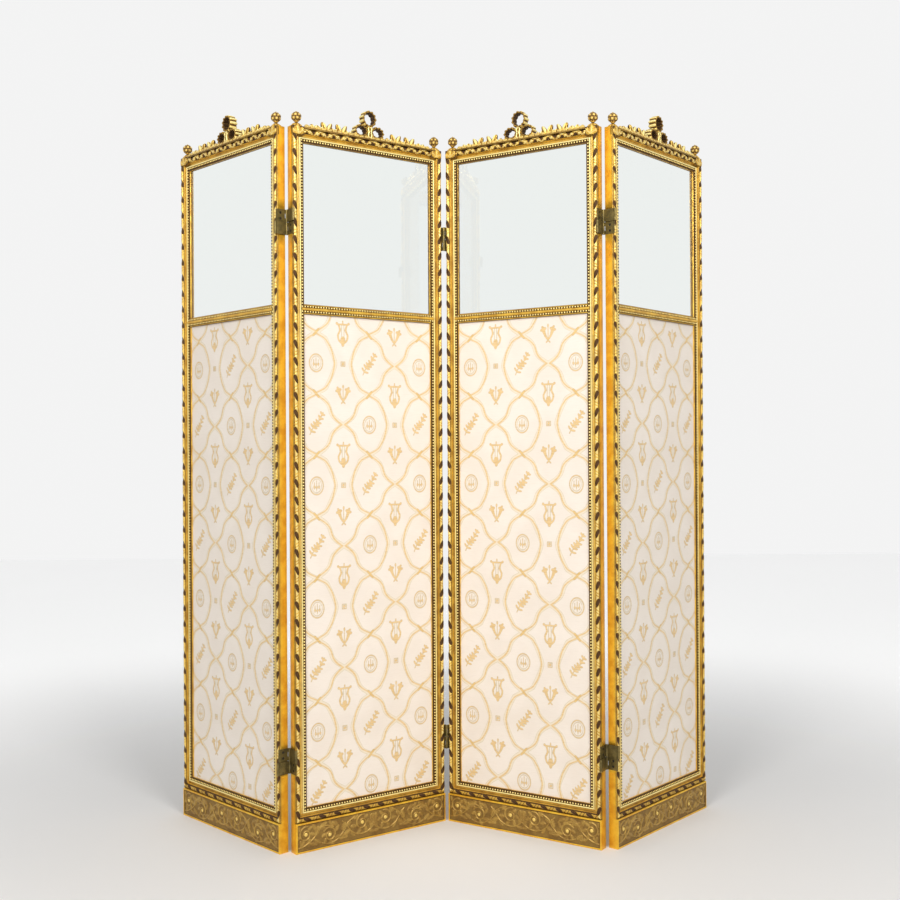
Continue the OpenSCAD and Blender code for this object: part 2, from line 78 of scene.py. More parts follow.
# The camera
def add_camera():
    yaw, pitch, roll = (math.radians(a) for a in (1.4485, 0.2177, 0.3350))
    level = Vector((math.sin(yaw), math.cos(yaw), 0))
    side = Vector((math.cos(yaw), -math.sin(yaw), 0))
    forward = math.cos(pitch) * level + math.sin(pitch) * Vector((0, 0, 1))
    rise = -math.sin(pitch) * level + math.cos(pitch) * Vector((0, 0, 1))
    right = math.cos(roll) * side - math.sin(roll) * rise
    up = math.sin(roll) * side + math.cos(roll) * rise
    data = bpy.data.cameras.new("camera")
    data.lens, data.sensor_width = 47.105, 36
    data.clip_start, data.clip_end = 0.05, 60
    cam = add_object("camera", data)
    cam.matrix_world = Matrix((right, up, -forward)).transposed().to_4x4()
    cam.location = (-0.0647, -2.9997, 0.9561)
    bpy.context.scene.camera = cam


add_camera()


# Building meshes
class Shape:
    """Patches of quads collected into one mesh, with a painted light value (painted shade above 0, a painted
    highlight below 0) and a plain-zone value at each point.
    """

    def __init__(self):
        self.points, self.faces, self.carve, self.plain, self.count = [], [], [], [], 0

    def grid(self, p, carve=0.0, plain=0.0, out=None, wrap_u=False, wrap_v=False):
        """p is (n, m, 3), or x, y and z. out is the way the patch faces, or "away" from its own middle."""
        p = np.stack(np.broadcast_arrays(*p), -1) if isinstance(p, tuple) else np.asarray(p, float)
        n, m = p.shape[:2]
        index = np.arange(n * m).reshape(n, m)
        if wrap_u:
            index = np.vstack([index, index[:1]])
        if wrap_v:
            index = np.hstack([index, index[:, :1]])
        f = np.stack([index[:-1, :-1], index[1:, :-1], index[1:, 1:], index[:-1, 1:]], -1).reshape(-1, 4)
        flat = p.reshape(-1, 3)
        if out is not None:
            normal = np.cross(flat[f[:, 2]] - flat[f[:, 0]], flat[f[:, 3]] - flat[f[:, 1]])
            if isinstance(out, str):
                toward = flat[f].mean(1) - flat.mean(0)
                if (normal * toward).sum() < 0:
                    f = f[:, ::-1]
            elif normal.sum(0) @ np.asarray(out, float) < 0:
                f = f[:, ::-1]
        self.points.append(flat)
        self.faces.append(f + self.count)
        self.carve.append(np.broadcast_to(carve, (n, m)).ravel())
        self.plain.append(np.broadcast_to(plain, (n, m)).ravel())
        self.count += n * m

    def wall(self, lo, hi, out, **values):
        """Flat rectangle between two opposite corners that share one coordinate."""
        a, b = [i for i in range(3) if lo[i] != hi[i]]
        p = np.tile(np.array(lo, float), (2, 2, 1))
        p[:, 1, a], p[1, :, b] = hi[a], hi[b]
        self.grid(p, out=out, **values)

    def sides(self, lo, hi, **values):
        """Left, right, top and bottom of a block."""
        (x0, y0, z0), (x1, y1, z1) = lo, hi
        self.wall(lo, (x0, y1, z1), (-1, 0, 0), **values)
        self.wall((x1, y0, z0), hi, (1, 0, 0), **values)
        self.wall((x0, y0, z1), hi, (0, 0, 1), **values)
        self.wall(lo, (x1, y1, z0), (0, 0, -1), **values)

    def lip_back(self, *corners):
        """Back of the moulded wood in the rebate's plane, from four corners (x, z)."""
        points = np.array([(x, REBATE_Y, z) for x, z in corners]).reshape(2, 2, 3)
        self.grid(points, plain=0.4, out=(0, 1, 0))

    def bar(self, lo, hi, **values):
        """A bar with softened edges, made of a rounded section swept along its longest side and closed."""
        lo, hi = np.asarray(lo, float), np.asarray(hi, float)
        axis = int(np.argmax(hi - lo))
        a, b = [i for i in range(3) if i != axis]
        r = min(SOFT_R, (hi[a] - lo[a]) / 2.1, (hi[b] - lo[b]) / 2.1)
        angles = np.radians(np.arange(0, 360, 30))
        ca = np.where(np.cos(angles + 1e-4) > 0, hi[a] - r, lo[a] + r)
        cb = np.where(np.sin(angles + 1e-4) > 0, hi[b] - r, lo[b] + r)
        full, inner = (ca + r * np.cos(angles), cb + r * np.sin(angles)), (ca, cb)
        middle = ((lo[a] + hi[a]) / 2, (lo[b] + hi[b]) / 2)
        bottom, top = lo[axis], hi[axis]
        rows = np.zeros((6, len(angles), 3))
        levels = (bottom, bottom, bottom + r, top - r, top, top)
        for row, at, (pa, pb) in zip(rows, levels, (middle, inner, full, full, inner, middle)):
            row[:, axis], row[:, a], row[:, b] = at, pa, pb
        self.grid(rows, out="away", wrap_v=True, **values)

    def mesh(self, name, material):
        me = bpy.data.meshes.new(name)
        points, faces = np.concatenate(self.points) * 0.001, np.concatenate(self.faces)
        me.vertices.add(len(points))
        me.vertices.foreach_set("co", points.ravel())
        me.loops.add(len(faces) * 4)
        me.loops.foreach_set("vertex_index", faces.ravel().astype(np.int32))
        me.polygons.add(len(faces))
        me.polygons.foreach_set("loop_start", (np.arange(len(faces)) * 4).astype(np.int32))
        me.polygons.foreach_set("use_smooth", np.ones(len(faces), bool))
        me.update(calc_edges=True)
        # Painted light at each point: painted shade above 0, a painted highlight below 0
        add_values(me, "carve", np.concatenate(self.carve))
        add_values(me, "plain", np.concatenate(self.plain))
        me.materials.append(material)
        return me


def add_values(me, label, values):
    """A number at every point of a mesh, for the shaders."""
    me.attributes.new(label, "FLOAT", "POINT").data.foreach_set("value", values.astype(np.float32))


def step(x, a, b):
    """0 below a, 1 above b, smooth between."""
    t = np.clip((x - a) / (b - a), 0, 1)
    return t * t * (3 - 2 * t)


def dome(x):
    return np.sqrt(np.clip(1 - x * x, 0, 1))


# Materials
class Nodes:
    """Short names for the nodes of a material or a world."""

    def __init__(self, owner):
        self.owner = owner
        owner.use_nodes = True
        self.tree = owner.node_tree
        self.tree.nodes.clear()

    def new(self, kind, *inputs, **settings):
        """A node with its first inputs in order. Names with a capital are inputs too, the others settings."""
        node = self.tree.nodes.new("ShaderNode" + kind)
        for key, value in settings.items():
            if key[0].isupper():
                self.put(node.inputs[key], value)
            else:
                setattr(node, key, value)
        for socket, value in zip(node.inputs, inputs):
            self.put(socket, value)
        return node

    def put(self, socket, value):
        if hasattr(value, "links"):
            self.tree.links.new(value, socket)
        elif value is not None:
            socket.default_value = value

    def math(self, op, a, b=None, clamp=False):
        return self.new("Math", a, b, operation=op, use_clamp=clamp).outputs[0]

    def mixed(self, factor, a, b):
        """Two shaders mixed."""
        return self.new("MixShader", factor, a.outputs[0], b.outputs[0]).outputs[0]


class Net(Nodes):
    """A material of one principled shader."""

    def __init__(self, name):
        super().__init__(bpy.data.materials.new(name))
        self.out, self.shader = self.new("OutputMaterial"), self.new("BsdfPrincipled")
        self.put(self.out.inputs[0], self.shader.outputs[0])
        self.coords = self.new("TexCoord").outputs["Object"]

    def attr(self, name):
        return self.new("Attribute", attribute_name=name).outputs["Fac"]

    def times(self, a, b):
        return self.math("MULTIPLY", a, b)

    def plus(self, a, b, clamp=False):
        return self.math("ADD", a, b, clamp)

    def ramp(self, value, lo, hi, to_lo=0.0, to_hi=1.0):
        limits = (lo, hi, to_lo, to_hi)
        return self.new("MapRange", value, *limits, interpolation_type="SMOOTHSTEP").outputs[0]

    def mix(self, factor, a, b):
        n = self.new("Mix", factor, data_type="RGBA")
        for i, colour in ((6, a), (7, b)):
            self.put(n.inputs[i], colour if hasattr(colour, "links") else (*colour, 1))
        return n.outputs[2]

    def noise(self, scale, detail, rough, stretch=None):
        coords = self.new("Mapping", self.coords, Scale=stretch).outputs[0] if stretch else self.coords
        return self.new("TexNoise", Vector=coords, Scale=scale, Detail=detail, Roughness=rough).outputs[0]

    def bump(self, height, distance, strength):
        n = self.new("Bump", Distance=distance, Strength=strength, Height=height)
        self.put(self.shader.inputs["Normal"], n.outputs[0])

    def set(self, **values):
        for name, value in values.items():
            self.put(self.shader.inputs[name.replace("_", " ")], value)
        return self.owner


def gilding(name, pale, bright, deep, recess, metallic):
    """Water gilding: deeper in the flats and worn to red-brown in patches, with a pale painted highlight on
    the crowns and brown painted shade in the carved recesses.
    """
    net = Net(name)
    carve, plain = net.attr("carve"), net.attr("plain")
    broad, fine, speck = net.noise(38, 5, 0.6), net.noise(420, 4, 0.6), net.noise(1500, 2, 0.5)
    colour = net.mix(net.ramp(broad, 0.36, 0.66), bright, deep)
    worn = net.times(net.ramp(fine, 0.58, 0.74), net.ramp(broad, 0.5, 0.68))
    colour = net.mix(net.times(worn, 0.45), colour, (0.30, 0.10, 0.02))
    # Painted light with a little noise: below 0 a pale painted highlight, above 0 a brown painted shade
    dark = net.plus(carve, net.times(net.math("SUBTRACT", fine, 0.5), 0.3))
    colour = net.mix(net.ramp(dark, -0.5, -0.05, 1.0, 0.0), colour, pale)
    colour = net.mix(net.ramp(dark, 0.05, 0.9), colour, recess)
    flat = net.mix(net.ramp(broad, 0.3, 0.7), (0.96, 0.60, 0.05), (0.74, 0.37, 0.025))
    colour = net.mix(plain, colour, flat)
    hollow = net.math("MAXIMUM", carve, 0.0)
    roughness = net.plus(net.plus(net.times(fine, 0.16), 0.3), net.times(hollow, 0.3), clamp=True)
    net.bump(net.plus(net.times(fine, 0.7), net.times(speck, 0.3)), 0.0004, 0.6)
    return net.set(Base_Color=colour, Metallic=metallic, Roughness=roughness)


# Colours: painted highlight, bright, deep, painted shade in the recesses; then metallic
GOLD = gilding(
    "giltwood", (1.0, 0.86, 0.36), (0.80, 0.50, 0.07), (0.55, 0.30, 0.035), (0.075, 0.032, 0.008), 0.45
)
# A darker copy of the gilding: the darker tone of the finial balls and the plinth, and on the plinth also
# painted shade for the shadowed foot of the screen
DARK_AND_SHADED_GILT = gilding(
    "dark_gilt", (0.95, 0.68, 0.18), (0.46, 0.28, 0.06), (0.32, 0.18, 0.035), (0.10, 0.05, 0.012), 0.5
)


def wood(name, light, dark, grain=(1, 1, 0.06)):
    net = Net(name)
    streak, pores = net.noise(160, 6, 0.6, grain), net.noise(900, 3, 0.5, grain)
    colour = net.mix(net.ramp(streak, 0.32, 0.68), light, dark)
    pore_colour = tuple(c * 0.4 for c in dark)
    colour = net.mix(net.times(net.ramp(pores, 0.55, 0.7), 0.5), colour, pore_colour)
    net.bump(net.plus(streak, pores), 0.0002, 0.5)
    return net.set(Base_Color=colour, Roughness=net.ramp(pores, 0.3, 0.7, 0.5, 0.68))


STAIN = wood("stained_wood", (0.20, 0.105, 0.042), (0.085, 0.040, 0.016))
BOARD = wood("board", (0.50, 0.36, 0.20), (0.36, 0.24, 0.12), (1, 1, 0.1))


def brass():
    net = Net("hinge_brass")
    cloud, fine = net.noise(70, 5, 0.6), net.noise(900, 4, 0.6)
    colour = net.mix(net.ramp(cloud, 0.35, 0.65), (0.25, 0.19, 0.065), (0.13, 0.10, 0.035))
    colour = net.mix(net.times(net.ramp(fine, 0.55, 0.75), 0.5), colour, (0.06, 0.045, 0.02))
    net.bump(fine, 0.00015, 0.5)
    return net.set(Base_Color=colour, Metallic=0.8, Roughness=net.ramp(cloud, 0.3, 0.7, 0.36, 0.55))


def screw_metal():
    net = Net("dark_screws")
    fine = net.noise(1400, 4, 0.6)
    colour = net.mix(net.ramp(fine, 0.4, 0.7), (0.050, 0.038, 0.022), (0.016, 0.012, 0.008))
    # Painted shade, near black, in the slots
    colour = net.mix(net.math("MAXIMUM", net.attr("carve"), 0.0), colour, (0.004, 0.003, 0.002))
    net.bump(fine, 0.0001, 0.5)
    return net.set(Base_Color=colour, Metallic=0.6, Roughness=net.ramp(fine, 0.3, 0.7, 0.4, 0.6))


BRASS = brass()
SCREW = screw_metal()


def glass():
    """Clear pane whose shadow is let through."""
    net = Net("clear_glass")
    net.bump(net.noise(7, 2, 0.5), 0.0006, 0.25)
    clear = net.new("BsdfTransparent", (0.93, 0.96, 0.945, 1))
    net.put(net.out.inputs[0], net.mixed(net.new("LightPath").outputs["Is Shadow Ray"], net.shader, clear))
    return net.set(Base_Color=(0.93, 0.965, 0.945, 1), Roughness=0.015, IOR=1.5, Transmission_Weight=1.0)


GLASS = glass()


def weave_bump(net, pitch, depth, more=None):
    """Warp and weft threads as two crossed waves, pitch metres apart."""
    split = net.new("SeparateXYZ", net.coords)
    warp, weft = (net.math("SINE", net.times(split.outputs[i], 2 * math.pi / pitch)) for i in (0, 2))
    height = net.plus(net.times(net.times(warp, weft), 0.5), 0.5)
    net.bump(height if more is None else net.plus(height, more), depth, 0.7)


def silk_material():
    net = Net("silk_damask")
    figure, line, band = net.attr("figure"), net.attr("line"), net.attr("second")
    cloud, slub = net.noise(9, 3, 0.5), net.noise(420, 3, 0.6, (0.12, 1, 1.6))
    ground = net.mix(net.ramp(cloud, 0.35, 0.65), (0.93, 0.845, 0.75), (0.89, 0.80, 0.70))
    ground = net.mix(net.times(net.ramp(slub, 0.45, 0.72), 0.16), ground, (0.76, 0.65, 0.52))
    gold, thread, pale = (net.mix(net.ramp(slub, 0.35, 0.7), a, b) for a, b in (
        ((0.86, 0.60, 0.25), (0.70, 0.45, 0.15)), ((0.62, 0.53, 0.35), (0.52, 0.43, 0.27)),
        ((0.88, 0.76, 0.55), (0.83, 0.69, 0.46)),
    ))
    stripe = net.ramp(line, -0.5, 0.5, 1.0, 0.0)
    in_band = net.ramp(net.math("ABSOLUTE", band), 4.9, 5.6, 1.0, 0.0)
    rim = net.math("ABSOLUTE", net.math("SUBTRACT", net.math("ABSOLUTE", band), 5.2))
    edge = net.ramp(rim, 0.3, 0.9, 1.0, 0.0)
    in_figure = net.ramp(figure, -0.4, 0.4, 1.0, 0.0)
    outline = net.ramp(net.math("ABSOLUTE", figure), 0.2, 0.8, 1.0, 0.0)
    colour = ground
    for zone, share, yarn in (
        (in_band, 0.6, pale), (edge, 0.45, thread), (stripe, 0.75, gold), (in_figure, 0.85, gold),
        (outline, 0.5, thread),
    ):
        colour = net.mix(net.times(zone, share), colour, yarn)
    raised = net.times(net.math("MAXIMUM", in_figure, stripe), 1.2)
    weave_bump(net, 0.0011, 0.00012, raised)
    rough = net.ramp(in_figure, 0, 1, 0.55, 0.42)
    return net.set(
        Base_Color=colour, Roughness=rough, Sheen_Weight=0.3, Sheen_Roughness=0.4, Specular_IOR_Level=0.3
    )


def lining_material():
    net = Net("lining_cloth")
    cloud, slub = net.noise(14, 3, 0.5), net.noise(380, 3, 0.6, (0.2, 1, 1))
    colour = net.mix(net.ramp(cloud, 0.35, 0.65), (0.61, 0.53, 0.40), (0.58, 0.50, 0.37))
    colour = net.mix(net.times(net.ramp(slub, 0.45, 0.7), 0.45), colour, (0.40, 0.33, 0.22))
    weave_bump(net, 0.0014, 0.0002)
    return net.set(Base_Color=colour, Roughness=0.85, Sheen_Weight=0.2)


SILK, LINING = silk_material(), lining_material()


# The moulded frame
def section():
    """Points (across, depth, arc, angle) of the moulded face: half-round, cove, band, bead channel and lip.

    arc and angle are the place round the ribbon's half-round, and arc is 99 everywhere else.
    """
    rows = []
    for a in np.radians(np.linspace(0, 166.3, 27)):
        rows.append((7 - 7 * math.cos(a), 7 - 7 * math.sin(a), 7 * (a - math.pi / 2), a))
    for a in np.radians(np.linspace(208, -12, 13)):
        rows.append((17.5 + 4.3 * math.cos(a), 7.5 + 4.3 * math.sin(a), 99, 0))
    for a in np.radians(np.linspace(236, 340, 8)):
        rows.append((23 + 2.4 * math.cos(a), 8.5 + 2.4 * math.sin(a), 99, 0))
    rows += [(across, depth, 99, 0) for across, depth in (
        (25.6, 8.9), (26.4, 9.3), (29.6, 9.4), (30.7, 9.6), (31.2, 9.45), (31.9, 9.3), (33.0, 9.3),
        (33.7, 9.55), (FRAME_W, 10.1), (FRAME_W, REBATE_Y),
    )]
    return np.array(rows)


SECTION = section()


def ribbon(u, q, pitch, wide, rest):
    """Cut into the half-round at length u and arc q, and its shade: a stick with a ribbon wound round it."""
    cell = np.mod(u, pitch) - pitch / 2
    across = np.abs(q)
    height = 2.2 * dome(np.clip(q / 6.9, -1, 1))
    # Painted light: rest paints a highlight on the stick below 0 and shade above 0; painted shade grows
    # towards the sides, in the valley, the grooves and the hollows
    shade = rest + 0.5 * step(across, 3.0, 6.5)
    height = np.maximum(height, 1.5 * step(across, 7.4, 9.0))
    shade = shade + 0.6 * np.exp(-((across - 7.6) / 1.0) ** 2)
    tilt = math.radians(28)
    a = q * math.sin(tilt) - cell * math.cos(tilt)
    b = q * math.cos(tilt) + cell * math.sin(tilt)
    long = 2.15 * wide
    groove = np.exp(-((np.abs(a) - long - 3.4) / 0.8) ** 2) * (across < 8)
    height = height - 0.7 * groove
    shade = shade + 0.5 * groove
    half = wide * np.clip(1 - np.abs(a / long) ** 2.6, 0, 1) ** 0.5
    e = np.abs(b) / np.maximum(half, 0.05)
    rim = (1 - step(np.abs(b) - half, 0.6, 1.8)) * (np.abs(a) < long + 1)
    height = np.maximum(height, 2.3 * rim)
    inside = (np.abs(a) < long) & (e < 1)
    fold = 0.6 * np.exp(-((b - 0.25 * wide) / 0.7) ** 2)
    height = np.where(inside, 0.1 + fold + 1.6 * step(e, 0.76, 1.0), height)
    shade = np.where(inside, 1.0 - 0.35 * fold / 0.6 - 0.5 * step(e, 0.85, 1.0), shade)
    return np.clip(2.35 - height, 0, 2.35), np.clip(shade, -0.6, 1)


def foliage(u, q):
    """The same for the top rail's overlapping leaves, about 19 mm apart and none quite like the next."""
    pitch, height = 19.0, np.zeros_like(u + q)
    # Each lump's place along and round, its two radii and its turn
    lumps = (
        (0, 1.5, 8.0, 7.6, 25), (-8, -5.5, 5.6, 5.0, -30), (6, 6.5, 6.4, 4.0, 60), (-3, -7.5, 5.0, 3.4, 10),
    )
    for i in range(-12, 13):
        near = np.abs(u - i * pitch) < 20
        if not near.any():
            continue
        vary = math.sin(i * 12.9898) * 43.7585
        vary -= math.floor(vary)
        for j, (du, dq, ru, rq, turn) in enumerate(lumps):
            side = 1 if i % 2 else -1
            size = 0.85 + 0.3 * ((vary * (3 + j)) % 1)
            t = math.radians(side * turn + 40 * (vary - 0.5))
            x, z = u - i * pitch - side * du - 4 * (vary - 0.5), q - dq - 1.5 * (vary - 0.5)
            a = (x * math.cos(t) + z * math.sin(t)) / (ru * size)
            b = (-x * math.sin(t) + z * math.cos(t)) / (rq * size)
            vein = 0.66 + 0.34 * np.abs(np.cos(2.0 * np.arctan2(b, a)))
            lump = 2.35 * dome(np.clip(np.hypot(a, b), 0, 1)) * vein
            height = np.maximum(height, np.where(near, lump, 0))
    # Painted shade over the rail, deepest between the leaves, and a painted highlight on their crowns
    cut = np.clip(2.35 - height, 0, 2.35)
    return cut, np.clip(0.5 + 0.5 * step(cut, 0.9, 2.0) - 0.95 * step(height, 1.35, 2.1), -0.5, 1)


def face(run, lo, hi, carving, cove_shade=0.55):
    """Length, across, depth and shade of the moulded face, mitred from lo + across to hi - across."""
    s = SECTION
    count = int((hi - lo) / run) + 1
    t = np.linspace(0, 1, count)[:, None]
    across = s[:, 0]
    u = (lo + across) * (1 - t) + (hi - across) * t
    arc, angle = s[:, 2], s[:, 3]
    on = arc < 90
    middle = (lo + hi) / 2
    cut, shade = carving(u - middle, np.where(on, arc, 0) + 0 * u)
    cut, shade = np.where(on, cut, 0), np.where(on, shade, 0)
    v = np.where(on, 7 - (7 - cut) * np.cos(angle), across) + 0 * u
    y = np.where(on, 7 - (7 - cut) * np.sin(angle), s[:, 1]) + 0 * u
    # Painted shade on the cove near the ribbon, turning to a painted highlight towards the band
    cove = cove_shade - (cove_shade + 0.3) * step(across, 15.0, 20.5)
    # From where to where across, and the painted shade (a painted highlight below 0): cove, band, its inner
    # arris, bead channel, lip
    for start, stop, value in (
        (13.9, 21.2, cove), (21.2, 25.0, -0.45), (24.6, 25.3, 0.6), (25.3, 30.9, 1.0), (31.1, 33.8, 0.75),
    ):
        shade = np.where((across > start) & (across < stop), value, shade)
    return u, v, y, shade


def stile(hinges):
    """Left stile: moulded face, outer edge with its hinge recesses, core and returns."""
    shape = Shape()
    u, v, y, shade = face(1.5, PLINTH_H, TOP, lambda u, q: ribbon(u, q, 41.85, 5.6, -0.3))
    near_block = (u > BLOCK_Z - 0.6) & (v < 33.6)
    y = np.where(near_block, np.maximum(y, 3.5), y)
    mid = (v > 25 - 0.4) & (np.abs(u - MID_Z) < 3 + (v - 25))
    y = np.where(mid, np.maximum(y, 10.6), y)
    shape.grid((v, y, u), carve=shade, out=(0, -1, 0))
    shape.lip_back((34, 106), (34, 1712), (27, 99), (27, 1719))
    rows = [0, PLINTH_H, PLINTH_H + 0.01, BLOCK_Z, BLOCK_Z + 0.01, 1749.4, STILE_H]
    for h in hinges:
        rows += [h - HINGE_HALF, h - HINGE_HALF + 0.01, h + HINGE_HALF - 0.01, h + HINGE_HALF]
    z = np.array(sorted(rows + list(np.arange(100, 1700, 40.0))))
    front = np.where((z <= PLINTH_H) | (z > BLOCK_Z), BOARD_T, 7.0)
    recess = np.zeros_like(z)
    for h in hinges:
        recess = np.maximum(recess, RECESS * (np.abs(z - h) < HINGE_HALF - 0.005))
    ring = (
        (0, front), (0, 26.3), (0.25, 26.8), (0.8, LEAF_T), (26.2, LEAF_T), (26.8, 26.75), (CORE_W, 26.2),
        (CORE_W, REBATE_Y),
    )
    p = np.zeros((len(z), len(ring), 3))
    for j, (x, depth) in enumerate(ring):
        p[:, j, 0] = np.maximum(x, recess) if x < RECESS else x
        p[:, j, 1], p[:, j, 2] = depth, z
    shape.grid(p[:, :4], plain=1.0, out=(-1, 0.4, 0))
    shape.grid(p[:, 3:7], plain=0.8, out=(0, 1, 0))
    shape.grid(p[:, 6:], plain=0.8, out=(1, 0, 0))
    for at, way in ((STILE_H, 1), (0, -1)):
        shape.wall((0, BOARD_T, at), (CORE_W, LEAF_T, at), (0, 0, way), plain=0.8)
    shape.wall((0, BOARD_T, 0), (CORE_W, BOARD_T, PLINTH_H), (0, -1, 0), plain=0.8)
    for h in hinges:
        low, high = h - HINGE_HALF, h + HINGE_HALF
        for at, way in ((low, 1), (high, -1)):
            shape.wall((0, 0.6, at), (RECESS + 0.05, LEAF_T, at), (0, 0, way), plain=0.6)
        shape.wall((RECESS, 4, low), (RECESS, LEAF_T, high), (-1, 0, 0), plain=0.6)
    return shape


def mirrored(shape):
    other = Shape()
    other.points = [p * (-1, 1, 1) + (LEAF_W, 0, 0) for p in shape.points]
    other.faces = [f[:, ::-1] for f in shape.faces]
    other.carve, other.plain, other.count = shape.carve[:], shape.plain[:], shape.count
    return other


def pair(shape):
    """A shape together with its mirror image."""
    other = mirrored(shape)
    shape.points += other.points
    shape.faces += [f + shape.count for f in other.faces]
    shape.carve += other.carve
    shape.plain += other.plain
    shape.count *= 2
    return shape


def rail(top):
    """Top rail or bottom rail with its core. The bottom one has a plain core behind the plinth board too."""
    shape = Shape()
    if top:
        u, v, y, shade = face(1.2, 0, LEAF_W, foliage, 0.35)
        y = np.where((v < 17.6) & ((u < 33.6) | (u > LEAF_W - 33.6)), np.maximum(y, 3.5), y)
    else:
        # The bottom rail's stick gets painted shade, the stiles' a painted highlight
        u, v, y, shade = face(1.2, 0, LEAF_W, lambda u, q: ribbon(u, q, 42.0, 5.3, 0.3))
    z = TOP - v if top else PLINTH_H + v
    shape.grid((u, y, z), carve=shade, out=(0, -1, 0))
    if top:
        shape.lip_back((34, 1712), (406, 1712), (27, 1719), (413, 1719))
        shape.bar((27, REBATE_Y, 1719), (413, LEAF_T, TOP), plain=0.8)
    else:
        shape.lip_back((34, 106), (406, 106), (27, 99), (413, 99))
        shape.bar((27, BOARD_T, 0), (413, LEAF_T, PLINTH_H + 0.5), plain=0.8)
        shape.bar((27, REBATE_Y, 66), (413, LEAF_T, 99), plain=0.8)
    return shape


def mid_rail():
    """Half-round between two bead channels and lips, its ends pointed into the stiles."""
    shape = Shape()
    rows = [
        (MID_HALF, REBATE_Y), (MID_HALF, 10.1), (11.7, 9.55), (11.0, 9.3), (9.9, 9.3), (9.2, 9.5), (8.7, 9.6),
        (7.6, 9.4), (4.4, 9.3), (3.5, 8.9),
    ]
    arc = [(3.4 * math.cos(a), 7.9 - 3.4 * math.sin(a)) for a in np.radians(np.linspace(0, 180, 13))]
    line = np.array(rows + arc + [(-a, b) for a, b in rows[::-1]])
    h, y = line.T
    inset = np.where(np.abs(h) > 3, 25 + (np.abs(h) - 3), 25)
    t = np.linspace(0, 1, 240)[:, None]
    x = inset * (1 - t) + (LEAF_W - inset) * t
    channel = (np.abs(h) > 3.4) & (np.abs(h) < 8.9)
    # Painted shade, full in the bead channels and partial on the lips
    shade = np.where(channel, 1.0, 0.05) + 0.55 * (np.abs(h) > 10.5)
    shape.grid((x, y, MID_Z + h), carve=shade, out=(0, -1, 0))
    shape.lip_back((34, 1298), (406, 1298), (34, 1322), (406, 1322))
    shape.bar((27, 13.4, 1305), (413, LEAF_T, 1315), plain=0.8)
    return shape


def beads():
    """Two strings of pearls, one round each opening."""
    pitch, radius, proud, seat = 7.4, 2.7, 2.9, 9.0
    centres = []
    for x0, x1, z0, z1 in ((28, 412, 1316, 1718), (28, 412, 100, 1304)):
        nx, nz = round((x1 - x0) / pitch), round((z1 - z0) / pitch)
        for f in np.arange(nx) / nx:
            centres += [(x0 + (x1 - x0) * f, z0), (x1 - (x1 - x0) * f, z1)]
        for f in np.arange(nz) / nz:
            centres += [(x1, z0 + (z1 - z0) * f), (x0, z1 - (z1 - z0) * f)]
    lat, lon = np.radians([0, 14, 32, 50, 68, 86, 108])[:, None], np.radians(np.arange(0, 360, 36))
    ring = radius * np.sin(lat)
    ball = (ring * np.cos(lon), seat - proud * np.cos(lat), ring * np.sin(lon))
    # Painted highlight on the pearls' tops, painted shade round their feet
    shade = np.array([-0.6, -0.6, -0.5, 0.0, 0.8, 1.0, 1.0])[:, None]
    shape = Shape()
    for x, z in centres:
        shape.grid((x + ball[0], ball[1], z + ball[2]), carve=shade, out=(0, -1, 0), wrap_v=True)
    return shape


# The plinth board
def spiral(cx, cz, r0, r1, start, turns, n):
    f = np.linspace(0, 1, n)
    a = math.radians(start) + 2 * math.pi * turns * f
    r = r0 + (r1 - r0) * f ** 1.15
    return np.stack([cx + r * np.cos(a), cz + r * np.sin(a)], -1)


def curve(points, n=40):
    """Smooth line through a few points."""
    p = np.array(points, float)
    t = np.linspace(0, len(p) - 1, n)
    i = np.clip(t.astype(int), 0, len(p) - 2)
    f = (t - i)[:, None]
    before, after = p[np.clip(i - 1, 0, None)], p[np.clip(i + 2, None, len(p) - 1)]
    a, b = p[i], p[i + 1]
    square, cube = 2 * before - 5 * a + 4 * b - after, 3 * a - before - 3 * b + after
    return 0.5 * (2 * a + (b - before) * f + square * f ** 2 + cube * f ** 3)


def ridge(x, z, line, w0, w1):
    """Rounded ridge along a line, its half-width going from w0 to w1."""
    best = np.zeros_like(x)
    w = np.linspace(w0, w1, len(line))
    for (px, pz), half in zip(line, w):
        d = ((x - px) ** 2 + (z - pz) ** 2) / half ** 2
        best = np.maximum(best, dome(np.sqrt(np.clip(d, 0, 1))) * (d < 1) * min(1.0, half / 2.2 + 0.25))
    return best


def leaf_form(x, z, cx, cz, angle, length, width, lobes=3):
    """Acanthus leaf from its root at (cx, cz): lobed edge, hollow sides and a raised midrib."""
    c, s = math.cos(math.radians(angle)), math.sin(math.radians(angle))
    a = ((x - cx) * c + (z - cz) * s) / length
    b = (-(x - cx) * s + (z - cz) * c) / width
    b = b - 0.35 * a * a
    edge = np.sqrt(np.clip(a * (1.02 - a), 0, 1)) * 2 * (0.72 + 0.28 * np.abs(np.sin(math.pi * lobes * a)))
    e = np.abs(b) / np.maximum(edge, 1e-3)
    body = np.where((a > 0) & (a < 1) & (e < 1), 0.35 + 0.55 * np.sqrt(np.clip(1 - e * e, 0, 1)), 0)
    rib = 0.3 * np.exp(-(b / 0.12) ** 2)
    vein = 0.22 * np.abs(np.sin(math.pi * lobes * (a - 0.45 * np.abs(b)))) * (e > 0.2)
    return np.clip(body + (rib - vein) * (body > 0), 0, 1.15)


